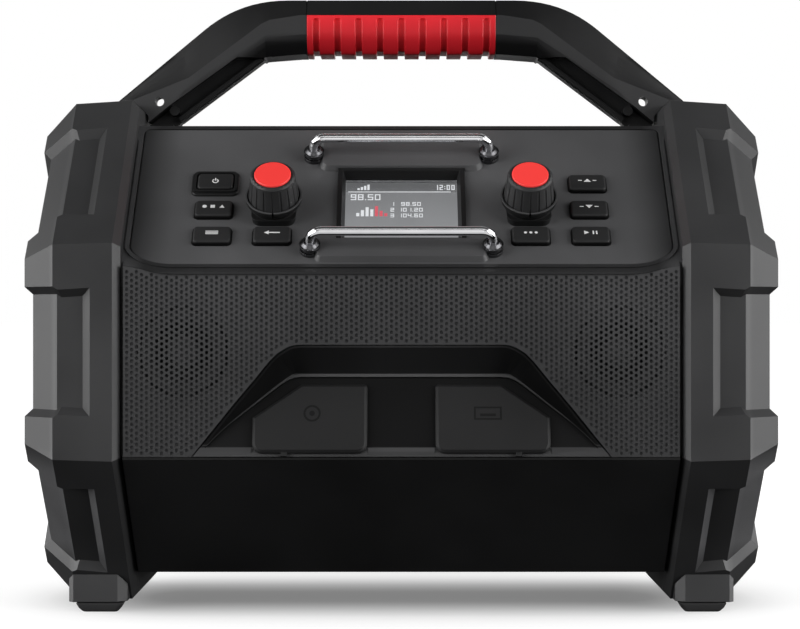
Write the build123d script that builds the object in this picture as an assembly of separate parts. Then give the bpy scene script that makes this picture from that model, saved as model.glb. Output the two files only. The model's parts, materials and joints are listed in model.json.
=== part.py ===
from build123d import *
import math
import os

# Jobsite radio. Millimetres. +Z up, front faces -Y, origin at the middle of the
# footprint on the surface it stands on.

# ---------------------------------------------------------------- driving sizes
HALF_W = 190.0          # half of the overall width, over the bumpers
HALF_D = 125.0          # half of the overall depth, over the bumpers
TOP_Z = 329.2           # top of the handle
MID_Z = 137.9           # middle height of the eight-sided bumper
BUMP_HZ = 132.8         # half height of the bumper
BUMP_C = 179.2          # |y| + |z - MID_Z| on the bumper's slanted sides
X_IN = 139.7            # inner face of the bumper
X_FACE0 = 143.4         # its front face starts
X_FACE1 = 173.2         # its front face ends, outer chamfer starts
DRAFT = 1.8             # how far the front face draws in towards the outside
OUT_CH = 16.8           # outer chamfer
IN_CH = 4.2             # inner chamfer
REC = 4.0               # depth of the sunk panels in the bumper
WALL = 3.5              # cabinet wall
BODY_HX = 147.0         # half length of the cabinet tube
BODY_TOP = 257.2
BODY_BOT = 21.0
Y_SEAT = -121.0         # grille seat
Y_LOW = -123.0          # upper edge of the slanted lower front
Y_BACK = 112.0          # rear face of the cabinet
C_UP = 164.1            # |y| + (z - MID_Z) on the upper slants of the cabinet
C_LO = 176.5            # |y| + (MID_Z - z) on the lower slants
PANEL_T = 3.0           # control panel thickness
KEY_W, KEY_H = 19.6, 12.5
KEY_UP = 2.5            # how far a key stands proud
KEY_TRAVEL = 1.0
KNOB_X, KNOB_S = 64.8, 46.8
BAR_R = 2.4             # guard bar radius
BAR_H = 13.5            # its height above the panel
BAR_X = 45.7
BAR_S_UP, BAR_S_LO = 87.3, 16.2
SPK_X, SPK_Z = 108.4, 138.1
PORT_TILT = 18.9        # lean of the socket face
HANDLE_HY = 19.0        # half depth of the handle
GRIP_HX = 51.8          # half length of the soft grip

R2 = math.sqrt(0.5)


def save(name, *shapes):
    flat = []
    for s in shapes:
        flat.extend(s.solids())
    shape = flat[0] if len(flat) == 1 else Compound(children=flat)
    shape.label = name
    export_step(shape, "parts/" + name + ".step")


def yz(pts, x0, x1):
    f = Plane.YZ.offset(x0) * Polygon(*pts, align=None)
    return extrude(f, amount=x1 - x0, dir=(1, 0, 0))


def xz(pts, y0, y1):
    p = Plane(origin=(0, y1, 0), x_dir=(1, 0, 0), z_dir=(0, -1, 0))
    return extrude(p * Polygon(*pts, align=None), amount=y1 - y0, dir=(0, -1, 0))


def box(x0, x1, y0, y1, z0, z1):
    return Pos((x0 + x1) / 2, (y0 + y1) / 2, (z0 + z1) / 2) * Box(x1 - x0, y1 - y0, z1 - z0)


def pp(h=0.0, x=0.0, s=0.0):
    """Plane of the control panel: local x along X, local y up the slant, z out of it."""
    return Plane(origin=(x, -HALF_D + s * R2 - h * R2, 177.0 + s * R2 + h * R2),
                 x_dir=(1, 0, 0), z_dir=(0, -R2, R2))


def on_panel(sk, h0, h1, x=0.0, s=0.0):
    return extrude(pp(h0, x, s) * sk, amount=h1 - h0, dir=(0, -R2, R2))


def pcyl(x, s, r, h0, h1):
    return on_panel(Circle(r), h0, h1, x, s)


def pcone(x, s, r0, r1, h0, h1):
    return loft([pp(h0, x, s) * Circle(r0), pp(h1, x, s) * Circle(r1)])


def ycyl(x, z, r, y0, y1):
    p = Plane(origin=(x, y0, z), x_dir=(1, 0, 0), z_dir=(0, 1, 0))
    return extrude(p * Circle(r), amount=y1 - y0)


def zcyl(x, y, r, z0, z1):
    return extrude(Pos(x, y, z0) * Circle(r), amount=z1 - z0)


def xcyl(y, z, r, x0, x1):
    p = Plane(origin=(x0, y, z), x_dir=(0, 1, 0), z_dir=(1, 0, 0))
    return extrude(p * Circle(r), amount=x1 - x0)


def soft(shape, edges, r):
    try:
        out = fillet(edges, r)
        return out if out.is_valid else shape
    except Exception:
        return shape


def mx(shape):
    return mirror(shape, about=Plane.YZ)


def octo(o, x):
    """Bumper side profile drawn in by o, as a face at x."""
    a, b, c = HALF_D - o, BUMP_HZ - o, BUMP_C - o / R2
    pts = [(-a, MID_Z - (c - a)), (-a, MID_Z + (c - a)), (-(c - b), MID_Z + b), (c - b, MID_Z + b),
           (a, MID_Z + (c - a)), (a, MID_Z - (c - a)), (c - b, MID_Z - b), (-(c - b), MID_Z - b)]
    return Plane.YZ.offset(x) * Polygon(*pts, align=None)


def stack(secs):
    return loft([octo(o, x) for x, o in secs], ruled=True)


# ---------------------------------------------------------------- side profile of the cabinet
def up_z(y, c=C_UP):
    return MID_Z + c - abs(y)


def lo_z(y, c=C_LO):
    return MID_Z - (c - abs(y))


yb = C_LO - (MID_Z - BODY_BOT)          # half length of the flat bottom
yt = C_UP - (BODY_TOP - MID_Z)          # half length of the flat top
body_pts = [(Y_SEAT, 85.6), (Y_SEAT, 176.5), (-124.2, 176.5), (-124.2, up_z(124.2)),
            (-yt, BODY_TOP), (yt, BODY_TOP), (Y_BACK, up_z(Y_BACK)), (Y_BACK, lo_z(Y_BACK)),
            (yb, BODY_BOT), (-yb, BODY_BOT), (Y_LOW, lo_z(Y_LOW)), (Y_LOW, 85.6)]
ci, cj = C_UP - WALL / R2, C_LO - WALL / R2
ybi = cj - (MID_Z - BODY_BOT - WALL)
yti = ci - (BODY_TOP - WALL - MID_Z)
yf = Y_SEAT + WALL
ybk = Y_BACK - WALL
cav_pts = [(yf, lo_z(yf, cj)), (yf, up_z(yf, ci)), (-yti, BODY_TOP - WALL), (yti, BODY_TOP - WALL),
           (ybk, up_z(ybk, ci)), (ybk, lo_z(ybk, cj)), (ybi, BODY_BOT + WALL), (-ybi, BODY_BOT + WALL)]

def oct_pts(o):
    a, b, c = HALF_D - o, BUMP_HZ - o, BUMP_C - o / R2
    return [(-a, MID_Z + (c - a)), (-(c - b), MID_Z + b), (c - b, MID_Z + b), (a, MID_Z + (c - a)),
            (a, MID_Z - (c - a)), (c - b, MID_Z - b), (-(c - b), MID_Z - b), (-a, MID_Z - (c - a))]


# the ends of the tube step in, which leaves a groove beside each bumper
END_X, END_O = 138.4, 6.2
end_face = make_face(Polyline(*body_pts, close=True)) & make_face(Polyline(*oct_pts(END_O), close=True))


def end_prism(x0, x1, grow=0.0):
    sk = offset(end_face, grow, kind=Kind.INTERSECTION) if grow else end_face
    return extrude(Plane.YZ.offset(x0) * sk, amount=x1 - x0, dir=(1, 0, 0))


def shrink(pts, d):
    return make_face(Polyline(*pts, close=True)) if not d else offset(make_face(Polyline(*pts, close=True)), -d, kind=Kind.INTERSECTION)


solid_tube = yz(body_pts, -END_X, END_X) + end_prism(-BODY_HX, -END_X) + end_prism(END_X, BODY_HX)
inner_low = extrude(Plane.YZ.offset(-BODY_HX - 1) * shrink(cav_pts, 4.5), amount=2 * BODY_HX + 2, dir=(1, 0, 0))
tube = solid_tube - yz(cav_pts, -136.2, 136.2) - inner_low

# panel outline: wide tray with rounded lower corners
PX, PS0, PS1 = 136.4, 6.2, 110.6


def tray(d=0.0):
    hx, s0, s1 = PX + d, PS0 - d, PS1 + d
    a, b, k = 23.0 + d, 14.5 + d, 0.5523
    edges = [Line((-hx + a, s0), (hx - a, s0)),
             Bezier((hx - a, s0), (hx - a + k * a, s0), (hx, s0 + b - k * b), (hx, s0 + b)),
             Line((hx, s0 + b), (hx, s1)), Line((hx, s1), (-hx, s1)), Line((-hx, s1), (-hx, s0 + b)),
             Bezier((-hx, s0 + b), (-hx, s0 + b - k * b), (-hx + a - k * a, s0), (-hx + a, s0))]
    sk = make_face(edges)
    top = [v for v in sk.vertices() if v.Y > 100]
    return fillet(top, max(1.0, 3 + d))


ledge = on_panel(tray(2.0), -6.3, -3.3) - on_panel(tray(-5.0), -8, 2)
window = on_panel(tray(0.25), -3.2, 2) + on_panel(tray(-5.0), -8, 2)

# front half
front = tube & box(-200, 200, -200, 0, 0, 300)
front = front + (ledge & yz(body_pts, -BODY_HX, BODY_HX))
# low rim round the sides of the panel, and lip corners that follow the panel's corners
rim_ring = on_panel(tray(2.4), -1.0, 0.7) - on_panel(tray(0.25), -3, 3)
front = front + (rim_ring & box(-139, 139, -140, 0, 150, 249))
LIP = [(113.8, 176.5), (119.7, 177.0), (124.7, 178.0), (129.6, 179.3), (134.6, 180.4), (138.6, 180.9)]
for sx in (-1, 1):
    front = front - xz([(sx * x, z) for x, z in LIP] + [(sx * 148, 180.9), (sx * 148, 170), (sx * 113.8, 170)], -135, Y_SEAT)
front = front - window
for sx in (-1, 1):
    front = front - ycyl(sx * SPK_X, SPK_Z, 23.2, -130, -110)

# bay outline, front edge and drawn-in back edge
B0h = [(-104.5, 85.6), (-95.0, 97.6), (-84.0, 111.2), (-73.1, 124.0), (-65.6, 133.2), (-61.8, 137.0), (-57.4, 139.8), (-54.6, 141.0), (-51.4, 141.5)]
B1h = [(-103.9, 85.8), (-69.6, 111.2), (-60.4, 116.6), (-55.6, 121.2), (-53.4, 122.4), (-52.4, 122.9), (-51.6, 122.6), (-51.0, 121.9), (-50.2, 121.6)]
B0 = B0h + [(-x, z) for x, z in reversed(B0h)]
B1 = B1h + [(-x, z) for x, z in reversed(B1h)]
front = front - xz([(x * 0.999, z - 0.02) for x, z in B0], -130, -110)
# woofer slots in the floor, and the seam lip
woof = zcyl(0, 0, 44.0, 10, 30)
for i in range(-4, 5):
    woof = woof - box(-60, 60, i * 10 - 1.5, i * 10 + 1.5, 5, 40)
front = front - (woof & box(-60, 60, -60, 0, 0, 40))
for sx in (-1, 1):
    front = front + (box(sx * 132 - 4, sx * 132 + 4, -12, 0, 236, BODY_TOP - 0.5)
                     & yz(cav_pts, -147, 147))
save("front_housing", front)

# rear half, with battery, inlet and antenna seats
rear = tube & box(-200, 200, 0, 200, 0, 300)
rear = rear - (woof & box(-60, 60, 0, 60, 0, 40))
rear = rear - box(-101, 41, 100, 130, 100, 164)
rear = rear - box(70.6, 99.4, 100, 130, 113.6, 134.4)
rear = rear + box(107, 117, Y_BACK - 1, 122.0, 78, 88)
for i in range(5):
    z = 200.0 + i * 8
    y = C_UP - (z - MID_Z)
    rear = rear - Pos(0, y, z) * Rot(-45, 0, 0) * Box(90, 3.0, 12)
for x in (-126, 126):
    for z in (96, 168):
        rear = rear - ycyl(x, z, 3.6, Y_BACK - 1.6, 130)
rear = rear + box(-115, -109.5, Y_BACK - 0.5, 116.6, 104, 118) - zcyl(-107, 114.6, 2.8, 103, 119)
rear = rear + box(-115, -109.5, Y_BACK - 0.5, 116.6, 146, 160) - zcyl(-107, 114.6, 2.8, 145, 161)
for z0, z1 in ((104, 118), (146, 160)):
    rear = rear + (zcyl(-107, 114.6, 2.3, z0, z1) - zcyl(-107, 114.6, 1.25, z0 - 1, z1 + 1)
                   ) + (box(-111, -108.6, Y_BACK - 0.5, 115.6, z0, z1) - zcyl(-107, 114.6, 1.25, z0 - 1, z1 + 1))
save("rear_housing", *[s for s in rear.solids() if s.volume > 200])

# housing screws: heads in the rear face counterbores, tips in the wall
scr = []
for x in (-126, 126):
    for z in (96, 168):
        s = ycyl(x, z, 3.4, Y_BACK - 1.55, Y_BACK + 0.9)
        s = s - Pos(x, Y_BACK + 0.6, z) * Rot(90, 0, 0) * Box(3.6, 0.8, 1.4)
        s = s - Pos(x, Y_BACK + 0.6, z) * Rot(90, 0, 0) * Box(0.8, 3.6, 1.4)
        scr.append(s)
save("housing_screws", *scr)

# side panels: cheek with a raised field and ribs
cheek = end_prism(BODY_HX + 0.1, BODY_HX + 3.6, -0.15)
field = loft([octo(56.0, BODY_HX + 3.5), octo(58.5, BODY_HX + 6.5)], ruled=True)
cheek = cheek + field
for i in range(-3, 4):
    z = MID_Z + i * 13.0
    rib = box(BODY_HX + 6.0, BODY_HX + 8.6, -42, 42, z - 2.6, z + 2.6)
    rib = soft(rib, rib.edges().filter_by(Axis.Y), 1.2)
    cheek = cheek + rib
save("right_side_panel", cheek)
save("left_side_panel", mx(cheek))

# ---------------------------------------------------------------- bumpers
outer = stack([(X_IN, IN_CH), (X_FACE0, 0.0), (X_FACE1, DRAFT), (HALF_W, DRAFT + OUT_CH)])
skin = stack([(154.5, 0.65), (158.6, REC + 0.9), (171.55, DRAFT + REC), (HALF_W - REC, DRAFT + REC + OUT_CH - 2.35)])
SL = 0.95               # length of an end slope over its depth
wedges = None
facets = [((-HALF_D, MID_Z), (-1, 0), 32.6), ((HALF_D, MID_Z), (1, 0), 32.6),
          ((0, MID_Z + BUMP_HZ), (0, 1), 28.0), ((0, MID_Z - BUMP_HZ), (0, -1), 28.0)]
for sy in (-1, 1):
    for sz in (-1, 1):
        # middle of the slanted side
        my = sy * (HALF_D + 46.4) / 2
        mz = sz * (54.2 + BUMP_HZ) / 2
        facets.append(((my, MID_Z + mz), (sy * R2, sz * R2), 34.5))


def trap(hl, d0, d1):
    return Polygon((-hl + SL * d0, d0), (hl - SL * d0, d0), (hl - SL * d1, d1), (-hl + SL * d1, d1), align=None)


for (cy, cz), (ny, nz), hl in facets:
    ty, tz = -nz, ny
    # depth below the front face, below the outer chamfer, and below the side face
    p1 = Plane(origin=(154.5, cy, cz), x_dir=(0, ty, tz), z_dir=(-1, 0, 0))
    t1 = Polygon((-hl - SL * 8, 8), (hl + SL * 8, 8), (hl - SL * 26, -26), (-hl + SL * 26, -26), align=None)
    w1 = extrude(p1 * t1, amount=45, dir=(1, 0, 0))
    u = (R2, -R2 * ny, -R2 * nz)
    o2 = (X_FACE1 - 10 * u[0], cy - DRAFT * ny - 10 * u[1], cz - DRAFT * nz - 10 * u[2])
    p2 = Plane(origin=o2, x_dir=(0, ty, tz), z_dir=u)
    w2 = extrude(p2 * trap(hl, -8, 24), amount=45, dir=u)
    p3 = Plane(origin=(HALF_W, cy + 5 * ny, cz + 5 * nz), x_dir=(0, ty, tz), z_dir=(0, -ny, -nz))
    w3 = extrude(p3 * trap(hl, -8, 24), amount=66, dir=(0, -ny, -nz))
    w = w1 + w2 + w3
    wedges = w if wedges is None else wedges + w
rim = loft([octo(54.0, 164.0), octo(46.0, HALF_W + 0.01)], ruled=True) + loft([octo(54.0, 120.0), octo(54.0, 164.5)], ruled=True)
recess = (outer & wedges) - skin
body_pocket = end_prism(130, BODY_HX + 4.1, 0.25)
hollow = stack([(BODY_HX + 4.0, 9.0), (170.0, 9.0), (181.0, 20.5)]) - \
    loft([octo(50.0, 130.0), octo(49.0, 166.0), octo(41.5, HALF_W + 2)], ruled=True)
bumper = outer - recess - rim - body_pocket - hollow
bumper = max(bumper.solids(), key=lambda s: s.volume)
save("right_bumper", bumper)
save("left_bumper", mx(bumper))

# bumper bolts: pan heads on the raised field of each cheek
bolts = []
for sx in (-1, 1):
    for sy in (-1, 1):
        for sz in (-1, 1):
            y, z = sy * 33.0, MID_Z + sz * 53.0
            b = xcyl(y, z, 4.4, BODY_HX + 6.6, BODY_HX + 9.4) - xcyl(y, z, 2.2, BODY_HX + 7.6, BODY_HX + 10)
            bolts.append(b if sx > 0 else mx(b))
save("bumper_bolts", *bolts)

# ---------------------------------------------------------------- feet
fb, fp = [], []
for sx in (-1, 1):
    for sy in (-1, 1):
        top = MID_Z - BUMP_C - 0.6
        blk = yz([(-62.0, 5.4), (-62.0, top + 62.0), (top - 5.4, 5.4)], 144.4, 175.0)
        plan = Polygon((144.4, -46.0), (144.4, -57.2), (149.2, -62.0), (172.6, -62.0), (175.0, -59.6), (175.0, -46.0), align=None)
        cut = blk & extrude(Pos(0, 0, 5.4) * plan, amount=30, dir=(0, 0, 1))
        cut = cut - xz([(143.0, 12.6), (148.2, 19.4), (148.2, 40.0), (143.0, 40.0)], -80, -54)
        pad = loft([Pos(159.0, -52.6, 5.0) * RectangleRounded(25.2, 17.6, 2.0), Pos(159.0, -52.6, 2.2) * RectangleRounded(22.0, 16.4, 2.0)], ruled=True)
        pad = pad + loft([Pos(159.0, -52.6, 2.2) * RectangleRounded(22.0, 16.4, 2.0), Pos(158.6, -52.6, 0.0) * RectangleRounded(18.4, 14.4, 2.0)], ruled=True)
        if sy > 0:
            cut, pad = mirror(cut, about=Plane.XZ), mirror(pad, about=Plane.XZ)
        if sx < 0:
            cut, pad = mx(cut), mx(pad)
        fb.append(cut)
        fp.append(pad)
save("foot_blocks", *fb)
save("foot_pads", *fp)

# ---------------------------------------------------------------- handle
def bez(p0, p1, p2, p3, t):
    u = 1 - t
    return tuple(u ** 3 * a + 3 * u * u * t * b + 3 * u * t * t * c + t ** 3 * d for a, b, c, d in zip(p0, p1, p2, p3))


def along(pts, t):
    """Point at the share t of a bent line's length."""
    ln = [math.dist(a, b) for a, b in zip(pts, pts[1:])]
    want = t * sum(ln)
    for (a, b), d in zip(zip(pts, pts[1:]), ln):
        if want <= d:
            return tuple(u + (v - u) * want / d for u, v in zip(a, b))
        want -= d
    return pts[-1]


NB = 11
FO = [(-157.0, 271.0), (-154.7, 274.2), (-120.0, 303.0)]
FO += [bez((-108.0, 312.95), (-96.5, 322.5), (-82.0, TOP_Z), (-62.0, TOP_Z), i / NB) for i in range(NB + 1)] + [(-55.0, TOP_Z)]
CREASE = [(-109.0, 291.2), (-101.0, 297.1), (-87.0, 307.5), (-74.0, 317.2), (-62.0, 319.1)]
CO = [(-149.0, 271.0), (-146.0, 274.0), (-116.2, 285.8)] + [along(CREASE, i / NB) for i in range(NB + 1)] + [(-55.0, 320.2)]
BASE = [(-126.0, BODY_TOP + 0.2), (-138.1, BODY_TOP + 0.2), (-138.1, 265.0), (-143.6, 271.0)]
# lower edge of the section, at the middle depths and at the faces, and how it bends between them
LOW0 = [(-55.0, 299.5), (-74.3, 298.0), (-88.7, 287.2), (-121.5, 262.6)]
LOW1 = [(-55.0, 311.6), (-74.3, 309.8), (-88.7, 300.9), (-118.6, 281.6)]
BEND = {12.0: 0.0, 14.0: 0.174, 15.8: 0.339, 17.2: 0.504, 18.2: 0.67, 18.8: 0.835, HANDLE_HY: 1.0}


def section_at(d):
    t = (d - 12.0) / (HANDLE_HY - 12.0)
    top = [(a[0] + (b[0] - a[0]) * t, a[1] + (b[1] - a[1]) * t) for a, b in zip(FO, CO)]
    f = BEND[d]
    low = [(a[0] + (b[0] - a[0]) * f, a[1] + (b[1] - a[1]) * f) for a, b in zip(LOW0, LOW1)]
    low = low + [(-126.0 - 11.6 * f ** 1.1, BODY_TOP + 0.2 + 0.2 * f)] + BASE[1:]
    return top + [(-x, z) for x, z in reversed(top)] + [(-x, z) for x, z in reversed(low)] + low


def face_xz(pts, y):
    p = Plane(origin=(0, y, 0), x_dir=(1, 0, 0), z_dir=(0, -1, 0))
    return p * Polygon(*pts, align=None)


handle = xz(section_at(12.0), -12.0, 12.0)
for d0, d1 in zip(list(BEND), list(BEND)[1:]):
    for sy in (-1, 1):
        handle = handle + loft([face_xz(section_at(d0), sy * d0), face_xz(section_at(d1), sy * d1)], ruled=True)
# both arms are open underneath, beside a middle web with a flange and a boss
UA = [(-74.2, 296.6), (-76.0, 297.6), (-89.8, 297.2), (-127.3, 270.3), (-138.6, 261.0), (-141.0, 250.0), (-100.0, 240.0), (-60.0, 285.0)]
UB = [(-83.0, 292.0), (-83.0, 304.5), (-116.0, 281.8), (-125.2, 275.0), (-126.8, 266.0), (-100.0, 250.0)]
FL = [(-75.0, 297.9), (-121.5, 262.9), (-123.0, 264.9), (-76.6, 299.7)]
for sx in (-1, 1):
    m = (lambda pts: pts) if sx < 0 else (lambda pts: [(-x, z) for x, z in pts])
    for y0, y1 in ((-20.0, -5.0), (5.0, 20.0)):
        handle = handle - xz(m(UA), y0, y1)
    for y0, y1 in ((-14.6, -5.0), (5.0, 14.6)):
        handle = handle - xz(m(UB), y0, y1)
    handle = handle + xz(m(FL), -8.0, 8.0) + ycyl(sx * 124.5, 268.5, 2.7, -12.5, 12.5)
    handle = handle + box(sx * 131.6 - 6.4, sx * 131.6 + 6.4, -12.0, 12.0, BODY_TOP + 0.2, 261.0)
    handle = handle - ycyl(sx * 132.1, 272.9, 2.5, -30, 0)
    handle = handle - ycyl(sx * 134.2, 274.6, 6.4, -7.0, 30)


def grip_sk(in_=0.0, z1=400.0):
    """Section of the straight part, drawn in by in_, cut off at z1."""
    half = [(-HANDLE_HY, 330.0), (-HANDLE_HY, 311.6), (-18.8, 309.6), (-18.2, 307.6), (-17.2, 305.6), (-15.8, 303.6), (-14.0, 301.6), (-12.0, 300.1), (-10.6, 299.5)]
    sk = make_face(Polyline(*(half + [(-y, z) for y, z in reversed(half)]), close=True))
    if in_:
        sk = offset(sk, -in_, kind=Kind.INTERSECTION)
    cap_ = make_face(Polyline((-40, 280), (40, 280), (40, z1), (-40, z1), close=True))
    return sk & cap_


GZ1 = 320.3


def along_x(sk, x0, x1):
    p = Plane(origin=(x0, 0, 0), x_dir=(0, 1, 0), z_dir=(1, 0, 0))
    return extrude(p * sk, amount=x1 - x0, dir=(1, 0, 0))


zone = box(-GRIP_HX, GRIP_HX, -30, 30, 290, GZ1)
roof = make_face(Polyline((-HANDLE_HY, 300), (-HANDLE_HY, 320.2), (-12.0, TOP_Z), (12.0, TOP_Z), (HANDLE_HY, 320.2), (HANDLE_HY, 300), close=True))
for sx in (-1, 1):
    x0 = sx * GRIP_HX - 0.3
    handle = handle - (box(x0, x0 + 0.6, -30, 30, GZ1 - 1.0, 340) - along_x(offset(roof, -0.4, kind=Kind.INTERSECTION), x0 - 1, x0 + 2))
core = along_x(grip_sk(4.0, GZ1 + 0.5), -GRIP_HX - 0.5, GRIP_HX + 0.5)
handle = (handle - zone) + core
handle = handle - zcyl(-131.0, 0, 2.55, 255, 268) - zcyl(131.0, 0, 2.55, 255, 268)
save("handle_frame", max(handle.solids(), key=lambda s: s.volume))

grip = along_x(grip_sk(0.0, GZ1 - 0.15), -GRIP_HX + 0.15, GRIP_HX - 0.15)
grip = grip - along_x(grip_sk(3.95, GZ1 + 2), -60, 60)
for i in range(-4, 5):
    x = i * 11.65
    g = xz([(x - 1.85, 290), (x - 1.85, 317.2), (x - 1.2, 318.3), (x + 1.2, 318.3), (x + 1.85, 317.2), (x + 1.85, 290)], -40, 40) - along_x(grip_sk(1.8, 330), -60, 60)
    grip = grip - g
save("handle_grip", grip)

hb = []
for sx in (-1, 1):
    hb.append(zcyl(sx * 131.0, 0, 2.5, 257.6, 267.6))
save("handle_bolts", *hb)

# ---------------------------------------------------------------- grille and sockets
top_edge = [(x, z - 0.2) for x, z in LIP[:-1]] + [(138.2, 180.6)]
gr = xz([(-138.2, 85.9), (138.2, 85.9)] + list(reversed(top_edge)) + [(-x, z) for x, z in top_edge], -122.8, -121.3)
gr = gr - xz(B0, -130, -110)
gr = gr - xz([(-105.2, 80), (-103.9, 86.3), (103.9, 86.3), (105.2, 80)], -130, -110)
holes = []
for sx in (-1, 1):
    for i in range(-5, 6):
        for j in range(-5, 6):
            dx = i * 4.6 + (j % 2) * 2.3
            dz = j * 4.0
            if dx * dx + dz * dz < 20.5 ** 2:
                holes.append(ycyl(sx * SPK_X + dx, SPK_Z + dz, 1.2, -124, -120))
gr = gr - Compound(children=holes)
save("speaker_grille", gr)

ct, st = math.cos(math.radians(PORT_TILT)), math.sin(math.radians(PORT_TILT))
PO_Y, PO_Z = -121.6, 90.0


def port(n=0.0, x=0.0, v=0.0):
    """Socket face: local x along X, local y up the face, z out of it."""
    return Plane(origin=(x, PO_Y + v * st - n * ct, PO_Z + v * ct + n * st), x_dir=(1, 0, 0), z_dir=(0, -ct, st))


def pext(sk, n0, n1, x=0.0, v=0.0):
    return extrude(port(n0, x, v) * sk, amount=n1 - n0, dir=(0, -ct, st))


bay = xz([(x * 0.992, z - 0.35 if z > 90 else 86.0) for x, z in B0], -122.6, -104.0)
funnel = loft([face_xz([(x * 0.985, z - 1.2 if z > 90 else z - 3) for x, z in B0], -122.7),
               face_xz([(x * 0.985, z - 1.0 if z > 90 else z - 3) for x, z in B1], -104.7)], ruled=True)
front_of = pext(Pos(0, 30) * Rectangle(300, 60), 0, 60)
bay = bay - (funnel & front_of)
# thin rim where the ceiling meets the socket face
RIMO = [(-102.2, 0.7), (-88.0, 12.0), (-73.0, 24.2), (-61.6, 33.8), (-57.8, 36.6), (-54.4, 38.0), (-50.4, 38.4)]
RIMI = [(-100.4, 0.7), (-87.0, 11.3), (-72.0, 23.4), (-60.4, 32.9), (-56.9, 35.2), (-53.8, 36.5), (-50.2, 36.9)]
ro = Polygon(*(RIMO + [(-x, v) for x, v in reversed(RIMO)]), align=None)
ri = Polygon(*(RIMI + [(-x, v) for x, v in reversed(RIMI)]), align=None)
bay = bay + (pext(ro - ri, -0.5, 1.3) & xz([(x * 0.992, z - 0.35 if z > 90 else 86.0) for x, z in B0], -122.6, -104.0))
COV_X = 45.4
soc_v = 15.5
bay = bay - pext(Circle(4.6), -14, 6, -COV_X, soc_v)
bay = bay - pext(Rectangle(15.4, 8.4), -14, 6, COV_X, soc_v)

aux = pext(Circle(4.5), -12, -0.2, -COV_X, soc_v) - pext(Circle(1.85), -10, 2, -COV_X, soc_v)
save("aux_socket", aux)
usb = pext(Rectangle(15.2, 8.2), -12, -0.2, COV_X, soc_v)
usb = usb - pext(Rectangle(12.6, 5.4), -10.5, 1.5, COV_X, soc_v)
usb = usb + pext(Rectangle(10.4, 1.6), -10.6, -2.6, COV_X, soc_v + 1.0)
save("usb_socket", usb)

# rubber covers: hinge line along the upper edge
COV = [(-74.2, -2.8), (-74.2, 15.6), (-50.0, 32.8), (-17.0, 32.8), (-17.0, -2.8)]


def cover():
    sk = Polygon(*COV, align=None)
    low = [v for v in sk.vertices() if v.Y < 0]
    sk = fillet(low, 5.2)
    sk = fillet([v for v in sk.vertices() if v.Y > 32 and v.X > -20], 1.8)
    c = pext(sk, 0.35, 1.3)
    sk1 = offset(sk, -0.5, kind=Kind.INTERSECTION)
    sk2 = offset(sk, -1.5, kind=Kind.INTERSECTION)
    c = c + loft([port(1.29) * sk, port(1.9) * sk1], ruled=True)
    c = c + loft([port(1.89) * sk1, port(2.7) * sk2], ruled=True)
    c = c + pext(Pos(-58.3, -3.4) * Rectangle(3.2, 2.0), 0.35, 1.85)
    return c


seat = Polygon(*COV, align=None)
seat = pext(offset(seat, 0.5), 0.0, 6.0) + pext(Pos(-58.3, -3.9) * Rectangle(4.4, 3.4), 0.0, 6.0)
bay = bay - seat - mx(seat)
save("port_bay", max(bay.solids(), key=lambda s: s.volume))
cv = cover()
save("aux_cover", cv)
save("usb_cover", mx(cv))

# ---------------------------------------------------------------- control panel and what is on it
keys = {
    "power_button": (-96.1, 66.7, 18.9, 12.4),
    "source_button": (-95.8, 45.8, KEY_W, KEY_H),
    "menu_button": (-95.5, 26.2, KEY_W, KEY_H),
    "back_button": (-65.2, 26.2, KEY_W, KEY_H),
    "preset_up_button": (96.1, 65.8, KEY_W, KEY_H),
    "preset_down_button": (95.8, 45.8, KEY_W, KEY_H),
    "play_button": (95.5, 26.2, KEY_W, KEY_H),
    "info_button": (65.2, 26.2, KEY_W, KEY_H),
}

panel = on_panel(tray(0.0), -PANEL_T, 0.0)
panel = soft(panel, panel.faces().sort_by(Axis((0, 0, 0), (0, -1, 1)))[-1].edges(), 1.0)


def pad(x0, x1, s0, s1, r):
    sk = Pos((x0 + x1) / 2, (s0 + s1) / 2) * RectangleRounded(x1 - x0, s1 - s0, r)
    return loft([pp(-0.2) * sk, pp(3.0) * offset(sk, -1.7)], ruled=True)


panel = panel + pad(-42.6, 42.6, 76.4, 103.0, 5.0) + pad(-43.8, 43.8, 7.6, 26.4, 4.0)
DX, DS0, DS1 = 33.0, 22.6, 77.6      # display opening
panel = panel - on_panel(Pos(0, (DS0 + DS1) / 2) * Rectangle(2 * DX, DS1 - DS0), -8, 4)
for nm, (kx, ks, kw, kh) in keys.items():
    clear = 0.3
    panel = panel - on_panel(RectangleRounded(kw + 2 * clear, kh + 2 * clear, 2.6), -6, 3, kx, ks)
for sx in (-1, 1):
    panel = panel - pcyl(sx * KNOB_X, KNOB_S, 9.0, -6, 4)
    for s in (BAR_S_UP, BAR_S_LO):
        panel = panel - pcyl(sx * BAR_X, s, BAR_R + 0.05, -6, 4)
save("control_panel", max(panel.solids(), key=lambda s: s.volume))

# screen frame: funnel down to the window
bz = on_panel(Pos(0, (DS0 + DS1) / 2) * Rectangle(2 * DX - 0.2, DS1 - DS0 - 0.2), -5.6, 1.7)
WS = 50.5               # middle of the window
bz = bz - loft([pp(1.71) * (Pos(0, (DS0 + DS1) / 2) * Rectangle(61.0, 51.6)),
                pp(-3.4) * (Pos(0, WS) * Rectangle(58.0, 46.2))], ruled=True)
bz = bz - on_panel(Pos(0, WS) * Rectangle(58.0, 46.2), -7, -3.3)
save("display_bezel", bz)
lens = on_panel(Pos(0, WS) * Rectangle(57.8, 46.0), -4.8, -3.6)
save("display_lens", lens)
mod = on_panel(Pos(0, (DS0 + DS1) / 2) * Rectangle(65.0, 54.0), -10.0, -5.8)
save("display_module", mod)

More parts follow.
